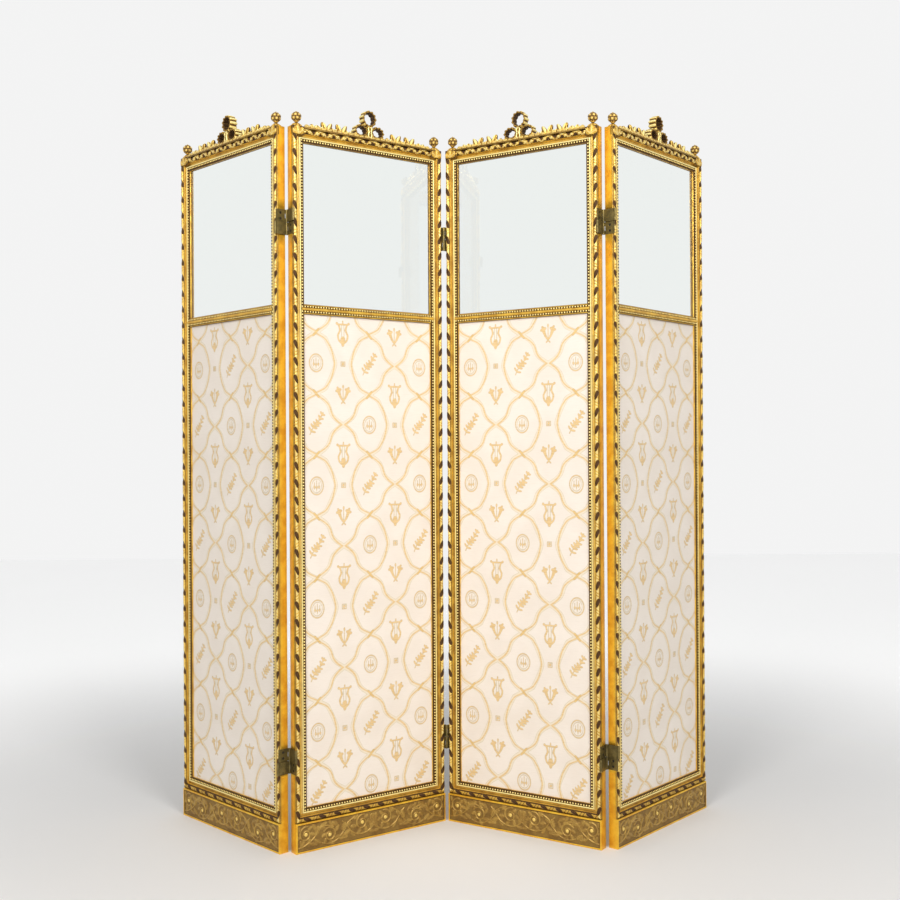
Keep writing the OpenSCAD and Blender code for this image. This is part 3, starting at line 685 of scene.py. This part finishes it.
def rinceau(x, z):
    """Height of the acanthus scroll on the left half of the field, x from 0 to 215 and z from 0 to 62."""
    h, eye_at = np.zeros_like(x), np.zeros_like(x)
    eyes = [(22, 38, 200, -1), (88, 26, 20, 1), (181, 39, 200, -1)]
    for cx, cz, start, way in eyes:
        scroll = spiral(cx, cz, 5.5, 19.5, start, way * 1.35, 80)
        h = np.maximum(h, ridge(x, z, scroll, 1.5, 2.3))
        eye = dome(np.clip(np.hypot(x - cx, z - cz) / 5.2, 0, 1))
        h = np.maximum(h, 1.15 * eye)
        eye_at = np.maximum(eye_at, eye)
        for i in range(7):
            a = start + way * (140 + i * 54)
            r = 11 + i * 1.6
            px, pz = cx + r * math.cos(math.radians(a)), cz + r * math.sin(math.radians(a))
            h = np.maximum(h, 0.8 * leaf_form(x, z, px, pz, a + way * 38, 13 + i * 1.2, 5.0))
    stems = [
        [(2, 8), (20, 12), (44, 26), (58, 46), (76, 50), (98, 44)],
        [(66, 10), (84, 5), (108, 10), (128, 28), (140, 46), (160, 57)],
        [(124, 52), (136, 40), (150, 22), (172, 12), (196, 14), (214, 26)],
    ]
    for stem in stems:
        h = np.maximum(h, ridge(x, z, curve(stem, 90), 1.6, 2.0))
    # Each side leaf's root, angle, length and width
    for cx, cz, angle, length, width in (
        (48, 30, 62, 24, 7), (52, 42, 118, 20, 6), (60, 48, 20, 22, 6), (46, 22, -42, 20, 6),
        (12, 10, 100, 16, 5), (118, 20, -30, 22, 7), (124, 28, 62, 22, 7), (132, 40, 10, 18, 6),
        (112, 12, -8, 18, 5), (112, 46, 150, 20, 6), (146, 26, 200, 20, 6), (150, 22, -60, 16, 5),
        (206, 18, 70, 24, 7), (200, 14, -20, 16, 5), (214, 30, 96, 26, 8), (156, 50, 30, 16, 5),
        (70, 52, -150, 16, 5), (34, 14, -20, 20, 5), (208, 44, 40, 14, 5),
    ):
        h = np.maximum(h, 0.85 * leaf_form(x, z, cx, cz, angle, length, width, 4))
    return h, eye_at


def plinth():
    """Board with a fillet border round its scrolls, the right half mirroring the left."""
    shape = Shape()
    near = np.array([0, 0.25, 0.7, 1.4])
    xs, zs = (
        np.concatenate([near, np.arange(2.2, size - 2.1, 0.8), size - near[::-1]])
        for size in (LEAF_W, PLINTH_H)
    )
    x, z = np.meshgrid(xs, zs, indexing="ij")
    edge = np.minimum(np.minimum(x, LEAF_W - x), np.minimum(z, PLINTH_H - z))
    inner = edge - 5.0
    local = np.where(x > LEAF_W / 2, LEAF_W - x, x) - 5
    height, eye = rinceau(local, z - 5)
    relief = 1.9 * np.clip(height, 0, 1.15) * step(inner, 0.2, 1.4)
    floor = 2.75
    fillet = 0.5 + 0.9 * (1 - dome(np.clip(1 - edge / 1.6, 0, 1)))
    fillet = fillet + 1.0 * step(edge, 3.9, 5.0)
    y = np.where(inner > 0, np.minimum(floor, 1.5 + (floor - 1.5) * step(inner, 0, 0.9)) - relief, fillet)
    y = np.maximum(y, 0.5)
    # Painted shade on the ground, less on the relief, a painted highlight on the scroll eyes and painted
    # shade along the border's inner edge
    shade = np.where(inner > 0, np.clip(0.44 - height * 0.62, -0.25, 1) - 0.6 * step(eye, 0.3, 0.8), 0.0)
    shade = np.where((inner > -0.8) & (inner < 0.9), np.maximum(shade, 0.75), shade)
    shape.grid((x, y, z), carve=shade, plain=np.where(inner < -0.8, 1.0, 0.0), out=(0, -1, 0))
    shape.sides((0, 1.4, 0), (LEAF_W, BOARD_T, PLINTH_H), plain=1.0)
    return shape


# The crest
def loop(shape, cx, cz, w, h, lobes):
    """Open loop of pleated ribbon, its width along the leaf's thickness."""
    n = lobes * 14
    t = np.linspace(0, 2 * math.pi, n, endpoint=False)
    crown = (0.5 + 0.5 * np.cos(lobes * t))[:, None]
    a, b, thick, pleat, half = w / 2, h / 2, 5.2, 2.2, 11.4
    ring = []
    for s in np.radians(np.arange(0, 360, 15)):
        c, d = math.cos(s), math.sin(s)
        ring.append((math.copysign(abs(c) ** 0.35, c), math.copysign(abs(d) ** 0.8, d)))
    across, out = np.array(ring).T
    offset = -thick / 2 + out * thick / 2 - pleat * (1 - crown) - 0.3 * np.abs(across) ** 3
    x = cx + np.cos(t)[:, None] * (a + offset)
    z = cz + np.sin(t)[:, None] * (b + offset)
    y = CENTRE_Y + across * (half - 1.2 * (1 - crown))
    # Painted highlight on the pleats' crowns, painted shade in their valleys, on the inner faces and along
    # the front rim
    shade = -0.5 * step(crown, 0.35, 0.8) + 0.9 * step(1 - crown, 0.45, 0.95)
    shade = np.where(out < -0.3, 0.7 + 0.3 * (1 - crown), shade)
    shade = np.where((np.abs(across) > 0.9) & (np.abs(out) < 0.75), 0.55, shade)
    shape.grid((x, y, z), carve=shade, out="away", wrap_u=True, wrap_v=True)


def knot(shape):
    """Pleated knot of the bow with a thin ribbon down each side."""
    t = np.linspace(0, 2 * math.pi, 96, endpoint=False)[:, None]
    v = np.linspace(-1, 1, 15)
    fold = 1 + 0.075 * np.cos(8 * t)
    swell = np.clip(1 - np.abs(v) ** 5, 0, 1) ** 0.33
    groove = 1 - 0.10 * np.exp(-(v / 0.12) ** 2)
    r = fold * np.maximum(swell, 0.04) * groove
    x = CENTRE_X + 6.7 * r * np.cos(t)
    z = 1764.7 + 14.6 * r * np.sin(t)
    # Painted shade in the folds between the pleats and at the knot's back end; the side ribbons get a painted
    # highlight
    shade = np.clip(0.5 - 0.5 * np.cos(8 * t), 0, 1) * 0.9 + 0.35 * (v < -0.9)
    shape.grid((x, CENTRE_Y + 12.8 * v, z), carve=shade, out="away", wrap_u=True)
    for s in (-1, 1):
        points = ((1.8, 1751), (4.8, 1757), (3.0, 1766), (5.0, 1773), (1.6, 1779))
        tube(shape, curve([(CENTRE_X + s * x, z) for x, z in points], 30), 2.0, 1.9, 2.7, -0.5)


def tube(shape, line, r_wide, r_deep, y, shade):
    """Rounded ribbon along a line in x and z, at depth y, thinner at both ends."""
    tangent = np.gradient(line, axis=0)
    tangent /= np.linalg.norm(tangent, axis=1)[:, None] + 1e-9
    f = np.linspace(0, 1, len(line))
    size = (np.sin(math.pi * np.clip(f * 0.94 + 0.03, 0, 1)) ** 0.4)[:, None]
    a = np.radians(np.arange(0, 360, 30))
    x = line[:, :1] - tangent[:, 1:] * np.cos(a) * r_wide * size
    z = line[:, 1:] + tangent[:, :1] * np.cos(a) * r_wide * size
    shape.grid((x, y + np.sin(a) * r_deep * size, z), carve=shade, out="away", wrap_v=True)


def blade(shape, x0, z0, h, w, lean, y0, depth):
    """Upright leaf of a tuft: a blunt rounded tip, a creased front and deep plain sides."""
    f = np.linspace(0, 1, 15)[:, None]
    a = np.radians(np.arange(0, 360, 15))
    cap = np.sqrt(np.clip(1 - f ** 7, 0.003, 1))
    half = w / 2 * (0.66 + 0.42 * np.sin(math.pi * np.clip(f, 0, 1) ** 0.85)) * cap
    deep = depth / 2 * (1 - 0.3 * f) * cap
    c, s = np.cos(a), np.sin(a)
    cx, sy = np.sign(c) * np.abs(c) ** 0.6, np.sign(s) * np.abs(s) ** 0.5
    front = s < -0.2
    crease = np.exp(-((cx - 0.55 * np.sign(lean)) / 0.3) ** 2) * front
    x = x0 + lean * f ** 1.5 + half * cx
    y = y0 + deep * sy + 1.6 * crease * (1 - 0.4 * f) - 0.8 * f ** 2
    z = z0 + h * f - 0.8 * np.abs(cx) * (1 - f)
    # Painted highlight on the front facets, painted shade in the crease, on the sides and towards the foot
    shade = np.where(front, -0.5 + 1.3 * crease, 0.85) + 0.7 * (1 - f) ** 3
    shape.grid((x, y, z), carve=np.clip(shade, -0.6, 1), out="away", wrap_v=True)


def garland(shape):
    """Row of plump leaves along the top of the leaf, from which the tufts and the bow grow."""
    u, q = np.arange(34, 406.01, 0.8)[:, None], np.radians(np.linspace(-62, 180, 34))
    cell = np.abs(np.mod(u - 220, 15.5) / 15.5 * 2 - 1)
    lump = dome(cell ** 1.6)
    vein = 0.14 * np.abs(np.sin(2.6 * q + 2.2 * cell))
    ends = step(u, 34, 40) * (1 - step(u, 400, 406))
    r_y = 7.4 * (0.82 + 0.18 * lump) - 2 * vein
    r_z = np.where(q > 0, (2.4 + 5.8 * lump - 3 * vein) * ends, 3.4)
    y = np.maximum(9.0 - r_y * np.cos(q), 0.9)
    z = 1749.9 + r_z * np.sin(q)
    # Painted shade between the lumps and in the veins, a painted highlight on the lumps
    shade = np.clip(1.1 - 1.5 * step(lump, 0.25, 0.8) + 1.6 * vein, -0.45, 1)
    shape.grid((u, y, z), carve=shade, out=(0, -0.5, 1))


def crest():
    """Ledge with its garland, tufts, the bow's three loops and their knot."""
    shape = Shape()
    # Painted shade over the ledge
    shape.bar((32.4, 1.2, TOP), (407.6, 26, STILE_H), carve=0.6)
    shape.bar((27, REBATE_Y, TOP), (413, 25.8, STILE_H - 0.2), plain=0.8)
    garland(shape)
    # Each tuft's distance from the middle, and its leaves' spread, foot, height, width, lean, y and thickness
    large = ((157, 11, 8.5), (122, 21, 11.5), (80, 22, 11.5))
    tufts = [(tx, 0.44 * w, 1750.2, h, w, 0.36 * h, 9.6, 14.6) for tx, h, w in large]
    small = ((60, 10), (101, 9.5), (140, 9.5), (172, 8))
    tufts += [(tx, 3.6, 1750.5, h, 7.6, 3.0, 9.4, 12.0) for tx, h in small]
    for tx, spread, z, h, w, lean, y, depth in tufts:
        for s in (-1, 1):
            for way in (-1, 1):
                blade(shape, CENTRE_X + s * tx + way * spread, z, h, w, way * lean, y, depth)
    for dx, z, w, h, lobes in ((0, 1799, 42, 44, 11), (-24, 1766.5, 40, 34, 10), (24, 1766.5, 40, 34, 10)):
        loop(shape, CENTRE_X + dx, z, w, h, lobes)
    knot(shape)
    return shape


# Corner blocks and finials
def ring_of(a, rx, ry, z):
    """Ring of points at the angles a round a finial's axis."""
    return np.stack([BALL_X + rx * np.cos(a), CENTRE_Y + ry * np.sin(a), z + 0 * a], -1)


def finial():
    """Leafy corner block, the leaf mound above it and the neck of the ball."""
    shape = Shape()
    x0, x1 = 1, 33
    x, z = np.meshgrid(np.linspace(x0, x1, 55), np.linspace(BLOCK_Z, STILE_H, 37), indexing="ij")
    h = np.zeros_like(x)
    for cx, cz, angle, length, width in (
        (17, 1729.5, 90, 20, 13), (16, 1731, 140, 19, 9), (18, 1731, 40, 19, 9), (16, 1736, 172, 15, 7),
        (18, 1736, 8, 15, 7), (17, 1741, 90, 10, 8),
    ):
        h = np.maximum(h, leaf_form(x, z, cx, cz, angle, length, width))
    edge = step(np.minimum(np.minimum(x - x0, x1 - x), np.minimum(z - BLOCK_Z, STILE_H - z)), 0, 1.2)
    y = np.maximum(BLOCK_Y - 2.1 * np.clip(h, 0, 1.1) * edge, 0.3)
    # Painted shade round the leaves and towards the block's edges, a painted highlight on the leaves' crowns
    shade = np.clip(1.25 - 1.5 * h + 0.5 * (1 - edge), -0.25, 1)
    shape.grid((x, y, z), carve=shade, out=(0, -1, 0))
    # Painted shade on the block's sides
    shape.sides((x0, BLOCK_Y, BLOCK_Z), (x1, BOARD_T, STILE_H), carve=0.55)
    a = np.radians(np.arange(0, 360, 5.0))
    leafy = np.abs(np.cos(4 * a)) ** 0.7
    squared = 1 / np.maximum(np.abs(np.cos(a)), np.abs(np.sin(a))) ** 0.5
    # Level and the two radii of each ring of the mound, then level, radius and shade of the neck's
    mound = (
        (1749.7, 13.6, 10.6), (1751.6, 13.6, 10.5), (1753.4, 12.4, 9.6), (1755.4, 9.8, 8.2),
        (1757.4, 6.6, 6.2),
    )
    neck = (
        (1758.4, 4.2, 0.9), (1759.6, 3.5, 1.0), (1760.6, 3.5, 0.8), (1761.4, 4.9, 0.0), (1762.3, 5.0, 0.3),
        (1763.0, 4.0, 1.0),
    )
    rings, shades = [], []
    for i, (z0, rx, ry) in enumerate(mound):
        grow = squared ** (1 - i / 4) * (0.82 + 0.18 * leafy)
        rings.append(ring_of(a, rx * grow, ry * grow, z0 + 0.8 * leafy * (i > 0)))
        # Painted shade between the mound's leaves, a painted highlight on them
        shades.append(1.0 - 1.2 * leafy)
    for z0, r0, dark in neck:
        rings.append(ring_of(a, r0, r0, z0))
        shades.append(np.full_like(a, dark))
    shape.grid(np.array(rings), carve=np.array(shades), out="away", wrap_v=True)
    return shape


def finial_ball():
    """Ball of small overlapping buds in rows, with a pointed tip."""
    shape = Shape()
    lat = np.linspace(-1.5, 1.52, 64)[:, None]
    lon = np.linspace(0, 2 * math.pi, 120, endpoint=False)
    rows = (lat + 1.57) / 0.79
    band = np.floor(rows)
    up = rows - band
    around = np.mod(lon / (2 * math.pi) * 7 + 0.5 * np.mod(band, 2), 1) * 2 - 1
    bump = dome(np.abs(around) ** 1.3) * dome(np.abs(up * 2 - 1) ** 1.5)
    r = np.minimum(10.6 + 2.2 * bump, 12.75)
    x = BALL_X + r * np.cos(lat) * np.cos(lon)
    y = CENTRE_Y + r * np.cos(lat) * np.sin(lon)
    z = 1773.6 + 0.97 * r * np.sin(lat)
    # Painted shade between the buds, a painted highlight on their tops
    shade = 1.0 - 0.85 * step(bump, 0.25, 0.8) - 0.7 * step(bump, 0.86, 0.99)
    shape.grid((x, y, z), carve=shade, out="away", wrap_v=True)
    tip = ((1784.2, 3.0), (1785.4, 2.6), (1786.6, 1.6), (1787.6, 0.8), (1788.15, 0.05))
    a = np.radians(np.arange(0, 360, 15))
    # A faint painted highlight on the tip
    shape.grid([ring_of(a, r0, r0, z0) for z0, r0 in tip], carve=-0.2, out="away", wrap_v=True)
    return shape


# Screws
def screws():
    """Four slotted countersunk heads for one plate, drawn on a leaf's left edge at x = 0."""
    shape = Shape()
    r = np.array([0, 0.9, 1.8, 2.7, 3.3, 3.55])
    a = np.radians(np.arange(0, 360, 15))
    for h in HINGES:
        for i, dz in enumerate((-22, -8, 8, 22)):
            tilt = 0.5 + 0.8 * i + h
            ry, rz = r[:, None] * np.cos(a), r[:, None] * np.sin(a)
            across = ry * math.cos(tilt) + rz * math.sin(tilt)
            slot = (np.abs(across) < 0.62).astype(float)
            x = 0.12 + 0.55 * slot - 0.06 * dome(r / 3.6)[:, None] + 0 * ry
            head = np.stack([x, CENTRE_Y + ry, h + dz + rz], -1)
            cone = np.stack([1.9 + 0 * a, CENTRE_Y + 1.85 * np.cos(a), h + dz + 1.85 * np.sin(a)], -1)
            # Painted shade: full in the slot, half on the countersunk cone
            shade = np.vstack([slot, np.full_like(a, 0.5)])
            shape.grid(np.vstack([head, cone[None]]), carve=shade, out=(-1, 0, 0), wrap_v=True)
    return shape


# The damask and the cloths
# Each form gives the distance in mm from its outline, negative inside, with its own middle at 0, 0
def union(*forms):
    return np.minimum.reduce(forms)


def capsule(x, z, a, b, r):
    d = np.array(b, float) - np.array(a, float)
    t = np.clip(((x - a[0]) * d[0] + (z - a[1]) * d[1]) / (d @ d + 1e-9), 0, 1)
    return np.hypot(x - a[0] - t * d[0], z - a[1] - t * d[1]) - r


def chain(x, z, points, n, r, grow=0.0):
    """Capsules along a smooth line of n points, each grow thicker than the one before."""
    line = curve(points, n)
    return union(*(capsule(x, z, p, q, r + grow * i) for i, (p, q) in enumerate(zip(line[:-1], line[1:]))))


def oval(x, z, cx, cz, rx, rz):
    return (np.hypot((x - cx) / rx, (z - cz) / rz) - 1) * min(rx, rz)


def petal_form(x, z, cx, cz, angle, length, width):
    c, s = math.cos(math.radians(angle)), math.sin(math.radians(angle))
    a, b = (x - cx) * c + (z - cz) * s, -(x - cx) * s + (z - cz) * c
    half = width / 2 * np.sqrt(np.clip(4 * a / length * (1 - a / length), 0, 1))
    return np.abs(b) - half + np.maximum(np.maximum(-a, a - length), 0)


def lyre(x, z):
    d = [capsule(x, z, (-16, 23), (16, 23), 1.9), capsule(x, z, (0, 23), (0, 31), 1.6)]
    d += [oval(x, z, 0, -14, 6.5, 7), oval(x, z, 0, -27, 4, 5)]
    for s in (-1, 1):
        d += [
            chain(x, z, [(s * 2, -24), (s * 11, -17), (s * 14, -4), (s * 8, 8), (s * 12, 22)], 9, 2.3),
            capsule(x, z, (s * 3.6, -12), (s * 3.0, 22), 0.8),
            oval(x, z, s * 17, 25, 3.2, 3.2),
            petal_form(x, z, s * 4, -27, 90 + s * 55, 15, 5),
        ]
    return union(*d)


def basket(x, z):
    """Two full horns of flowers that spread from one small foot."""
    d = [capsule(x, z, (0, -16), (0, 15), 0.9), oval(x, z, 0, 19, 2.4, 4.4)]
    for s in (-1, 1):
        d.append(chain(x, z, [(0, -17), (s * 6, -9), (s * 11, 2), (s * 13, 9)], 6, 1.6, 0.75))
        d.append(petal_form(x, z, 0, -18, -90 - s * 48, 9, 3.6))
        for cx, cz, r in ((13, 11, 5.0), (19, 8, 3.2), (8, 12, 3.2), (16, 16, 2.8)):
            d.append(oval(x, z, s * cx, cz, r, r))
    return union(*d)


def medallion(x, z):
    d = [np.abs(oval(x, z, 0, 0, 18.5, 21.5)) - 1.3, np.abs(oval(x, z, 0, 0, 13.5, 16.5)) - 0.55]
    for dx, half in ((-6.5, 8), (0, 12), (6.5, 8)):
        d += [capsule(x, z, (dx, -half), (dx, half), 0.9), oval(x, z, dx, -0.35 * half, 2.6, 3.6)]
    return union(*d)


def spray(x, z):
    """Leafy branch rising from the lower left to the upper right."""
    points = [(-18, -25), (-9, -8), (4, 4), (16, 24)]
    d = [chain(x, z, points, 7, 1.2), petal_form(x, z, 13, 19, 58, 13, 5)]
    for i, (px, pz) in enumerate(curve(points, 7)[1:]):
        d += [petal_form(x, z, px, pz, 55 + s * 66, 13.5 - 0.8 * i, 5.0) for s in (-1, 1)]
    d += [oval(x, z, cx, cz, r, r) for cx, cz, r in ((3, 3, 5.4), (10, 14, 4.2), (-6, -5, 3.8))]
    return union(*d)


def bow_tie(x, z):
    """Turn of the ribbon over a crossing."""
    return union(oval(x, z, 0, 0, 3.2, 3.2), capsule(x, z, (-7, 7.5), (7, -7.5), 3.0))


def rosette(x, z):
    """Small square flower between two ribbons."""
    square = np.maximum(np.abs(x), np.abs(z))
    return union(np.maximum(square - 6.6, 4.6 - square), oval(x, z, 0, 0, 3.4, 3.4))


def damask(x, z):
    """Distances in mm over the cloth to the figures, the ribbon's gold stripe and the ribbon's middle."""
    half, high = 76.0, 75.0  # half the repeat's width and height
    x0, z0 = x - 192.5, z - 32.0
    column, row = np.round((x0 / half - 1) / 2), np.round(z0 / (2 * high))
    side, rise = np.abs(x0 - (2 * column + 1) * half), np.abs(z0 - 2 * high * row)
    kiss = np.mod(row + column, 2) == 0
    t = np.linspace(0, 1, 101)
    crossing = half * (t + 0.68 * np.sin(2 * math.pi * t) / (2 * math.pi))
    turning = curve([(22, 0), (24, 9), (31, 26), (42, 48), (52, 62), (76, 75), (94, 84)], 200)
    turning = np.interp(t * high, turning[:, 1], turning[:, 0])
    at, lean = (
        np.where(kiss, np.interp(rise / high, t, a), np.interp(rise / high, t, b)) for a, b in (
            (turning, crossing), (np.gradient(turning, high / 100), np.gradient(crossing, high / 100)),
        )
    )
    band = (side - at) / np.sqrt(1 + lean ** 2)
    stripe = np.abs(band - 2.0 * np.cos(2 * math.pi * rise / high)) - 2.0
    figure = np.full_like(x, 40.0)
    for col in range(-3, 4):
        for step_up in range(-1, 17):
            motif = (step_up + (col % 2)) % 2 == 0
            cx, cz = col * half, step_up * high
            reach = (34, 40) if motif else (22, 22)
            near = (np.abs(x0 - cx) < reach[0]) & (np.abs(z0 - cz) < reach[1])
            if not near.any():
                continue
            fx, fz = x0[near] - cx, z0[near] - cz
            turn = (step_up // 2 + col // 2) % 2
            if motif:
                form = (lyre, basket, medallion, spray)[(0 if col % 2 else 2) + turn]
            else:
                form = (None if turn else rosette) if col % 2 else bow_tie
                fx = fx if turn else -fx
            if form:
                figure[near] = np.minimum(figure[near], form(fx, fz))
    return figure, stripe, band


def cloth(name, x0, x1, z0, z1, y, thick, spacing, material, out):
    """A stretched cloth: a fine front with its turned edges and a plain back."""
    nx, nz = int((x1 - x0) / spacing) + 1, int((z1 - z0) / spacing) + 1
    x, z = np.meshgrid(np.linspace(x0, x1, nx), np.linspace(z0, z1, nz), indexing="ij")
    edge = np.minimum(np.minimum(x - x0, x1 - x), np.minimum(z - z0, z1 - z))
    soft = 0.10 * np.sin(x * 0.031 + 1.3) * np.sin(z * 0.013) * step(edge, 8, 60)
    roll = 0.25 * (1 - dome(np.clip(1 - edge / 1.5, 0, 1)))
    face_y = y + (roll + 0.12 + soft) * out
    shape = Shape()
    shape.grid((x, face_y, z), out=(0, -out, 0))
    back_x, back_z = np.meshgrid(np.linspace(x0, x1, 9), np.linspace(z0, z1, 25), indexing="ij")
    shape.grid((back_x, np.full_like(back_x, y + thick * out), back_z), out=(0, out, 0))
    me = shape.mesh(name, material)
    if name == "silk":
        plain_back = np.full(back_x.size, 40.0)
        for label, values in zip(("figure", "line", "second"), damask(x - x0, z - z0)):
            add_values(me, label, np.append(values, plain_back))
    return me


# Placing the pieces
def place(name, mesh, k, slot, *nodes):
    obj = add_object(name, mesh)
    obj.matrix_world = leaf_matrix(k)
    bpy.context.view_layer.update()
    if nodes:
        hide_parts(*nodes)
    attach(obj, f"leaf_{k}")
    return obj


left, free = stile(HINGES), stile(())
left_screws = screws()
SHAPES = {
    "left_stile": left, "right_stile": mirrored(left), "top_rail": rail(True), "mid_rail": mid_rail(),
    "bottom_rail": rail(False), "plinth": plinth(), "crest": crest(), "finials": pair(finial()),
}
# The plinth takes the darker gilding, partly painted shade for the shadowed foot
DARK = ("plinth",)
MESHES = {piece: shape.mesh(piece, DARK_AND_SHADED_GILT if piece in DARK else GOLD) for piece, shape in SHAPES.items()}
# The outer edges of the first and last leaf carry no hinge
FREE_EDGES = {
    (1, "left_stile"): free.mesh("free_left", GOLD),
    (4, "right_stile"): mirrored(free).mesh("free_right", GOLD),
}
BEADS = beads().mesh("beads", GOLD)
BALLS = pair(finial_ball()).mesh("finial_balls", DARK_AND_SHADED_GILT)
SILK_MESH = cloth("silk", 27.5, 412.5, 99.5, 1304.5, 13.5, 0.9, 2.0, SILK, 1)
LINING_MESH = cloth("lining", 34, 406, 106, 1298, 20.35, 0.8, 12.0, LINING, -1)
SCREWS_LEFT = left_screws.mesh("screws_left", SCREW)
SCREWS_RIGHT = mirrored(left_screws).mesh("screws_right", SCREW)

for k in PLACES:
    for piece, mesh in MESHES.items():
        slot = "dark_gilt" if piece in DARK else "giltwood"
        place(f"carved_{piece}_{k}", FREE_EDGES.get((k, piece), mesh), k, slot, f"leaf_{k}_{piece}")
    place(f"bead_strings_{k}", BEADS, k, "giltwood")
    place(f"finial_balls_{k}", BALLS, k, "dark_gilt")
    silk = place(f"silk_cloth_{k}", SILK_MESH, k, "silk", f"leaf_{k}_silk")
    lining = place(f"lining_cloth_{k}", LINING_MESH, k, "lining")
    if k > 1:
        place(f"screws_{k}_left", SCREWS_LEFT, k, "hinge_brass")
    if k < 4:
        place(f"screws_{k}_right", SCREWS_RIGHT, k, "hinge_brass")

KEPT = {"glass": GLASS, "panel_board": BOARD, "stops": STAIN}
for name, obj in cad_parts.items():
    if obj.hide_render:
        continue
    material = BRASS if name.startswith("hinge_") else KEPT[name.split("_", 2)[2]]
    for slot_of in obj.material_slots:
        slot_of.material = material


# Floor, world and lamps
def seen_rays(nodes):
    """1 for rays from the camera, off a gloss or through glass, so that these see the bright background."""
    rays = nodes.new("LightPath").outputs
    seen = nodes.math("MAXIMUM", rays["Is Camera Ray"], rays["Is Transmission Ray"])
    return nodes.math("MAXIMUM", seen, rays["Is Glossy Ray"])


def floor_material():
    """Pale floor that runs into the background far from the screen, for the camera and for reflections."""
    net = Net("pale_floor")
    cloud = net.noise(1.5, 3, 0.5)
    reach = net.new("VectorMath", net.coords, operation="LENGTH")
    far = net.ramp(reach.outputs["Value"], 0.6, 3.2, 0.02, 0.48)
    glow = net.times(far, seen_rays(net))
    return net.set(
        Base_Color=net.mix(cloud, (0.80, 0.79, 0.77), (0.84, 0.83, 0.81)), Roughness=0.7,
        Specular_IOR_Level=0.2, Emission_Color=(1, 1, 1, 1), Emission_Strength=glow,
    )


floor = bpy.data.meshes.new("floor")
floor.from_pydata([(-8, -8, 0), (8, -8, 0), (8, 8, 0), (-8, 8, 0)], [], [(0, 1, 2, 3)])
floor.materials.append(floor_material())
add_object("floor", floor)

world = bpy.data.worlds.new("studio")
bpy.context.scene.world = world
sky = Nodes(world)
dim, bright = sky.new("Background", (0.95, 0.97, 1.0, 1), 0.42), sky.new("Background", (1, 1, 1, 1), 0.9)
sky.new("OutputWorld", sky.mixed(seen_rays(sky), dim, bright))

for side in (-1, 1):
    light = bpy.data.lights.new(f"front_{side}", "AREA")
    light.shape, light.size, light.size_y = "RECTANGLE", 1.2, 0.9
    light.energy, light.color = 62, (1.0, 0.98, 0.965)
    lamp = add_object(f"front_{side}", light)
    lamp.location = (1.3 * side, -3.1, 2.9)
    lamp.rotation_euler = (Vector((0, 0, 1.2)) - lamp.location).to_track_quat("-Z", "Y").to_euler()

bpy.context.scene.view_settings.view_transform = "Standard"
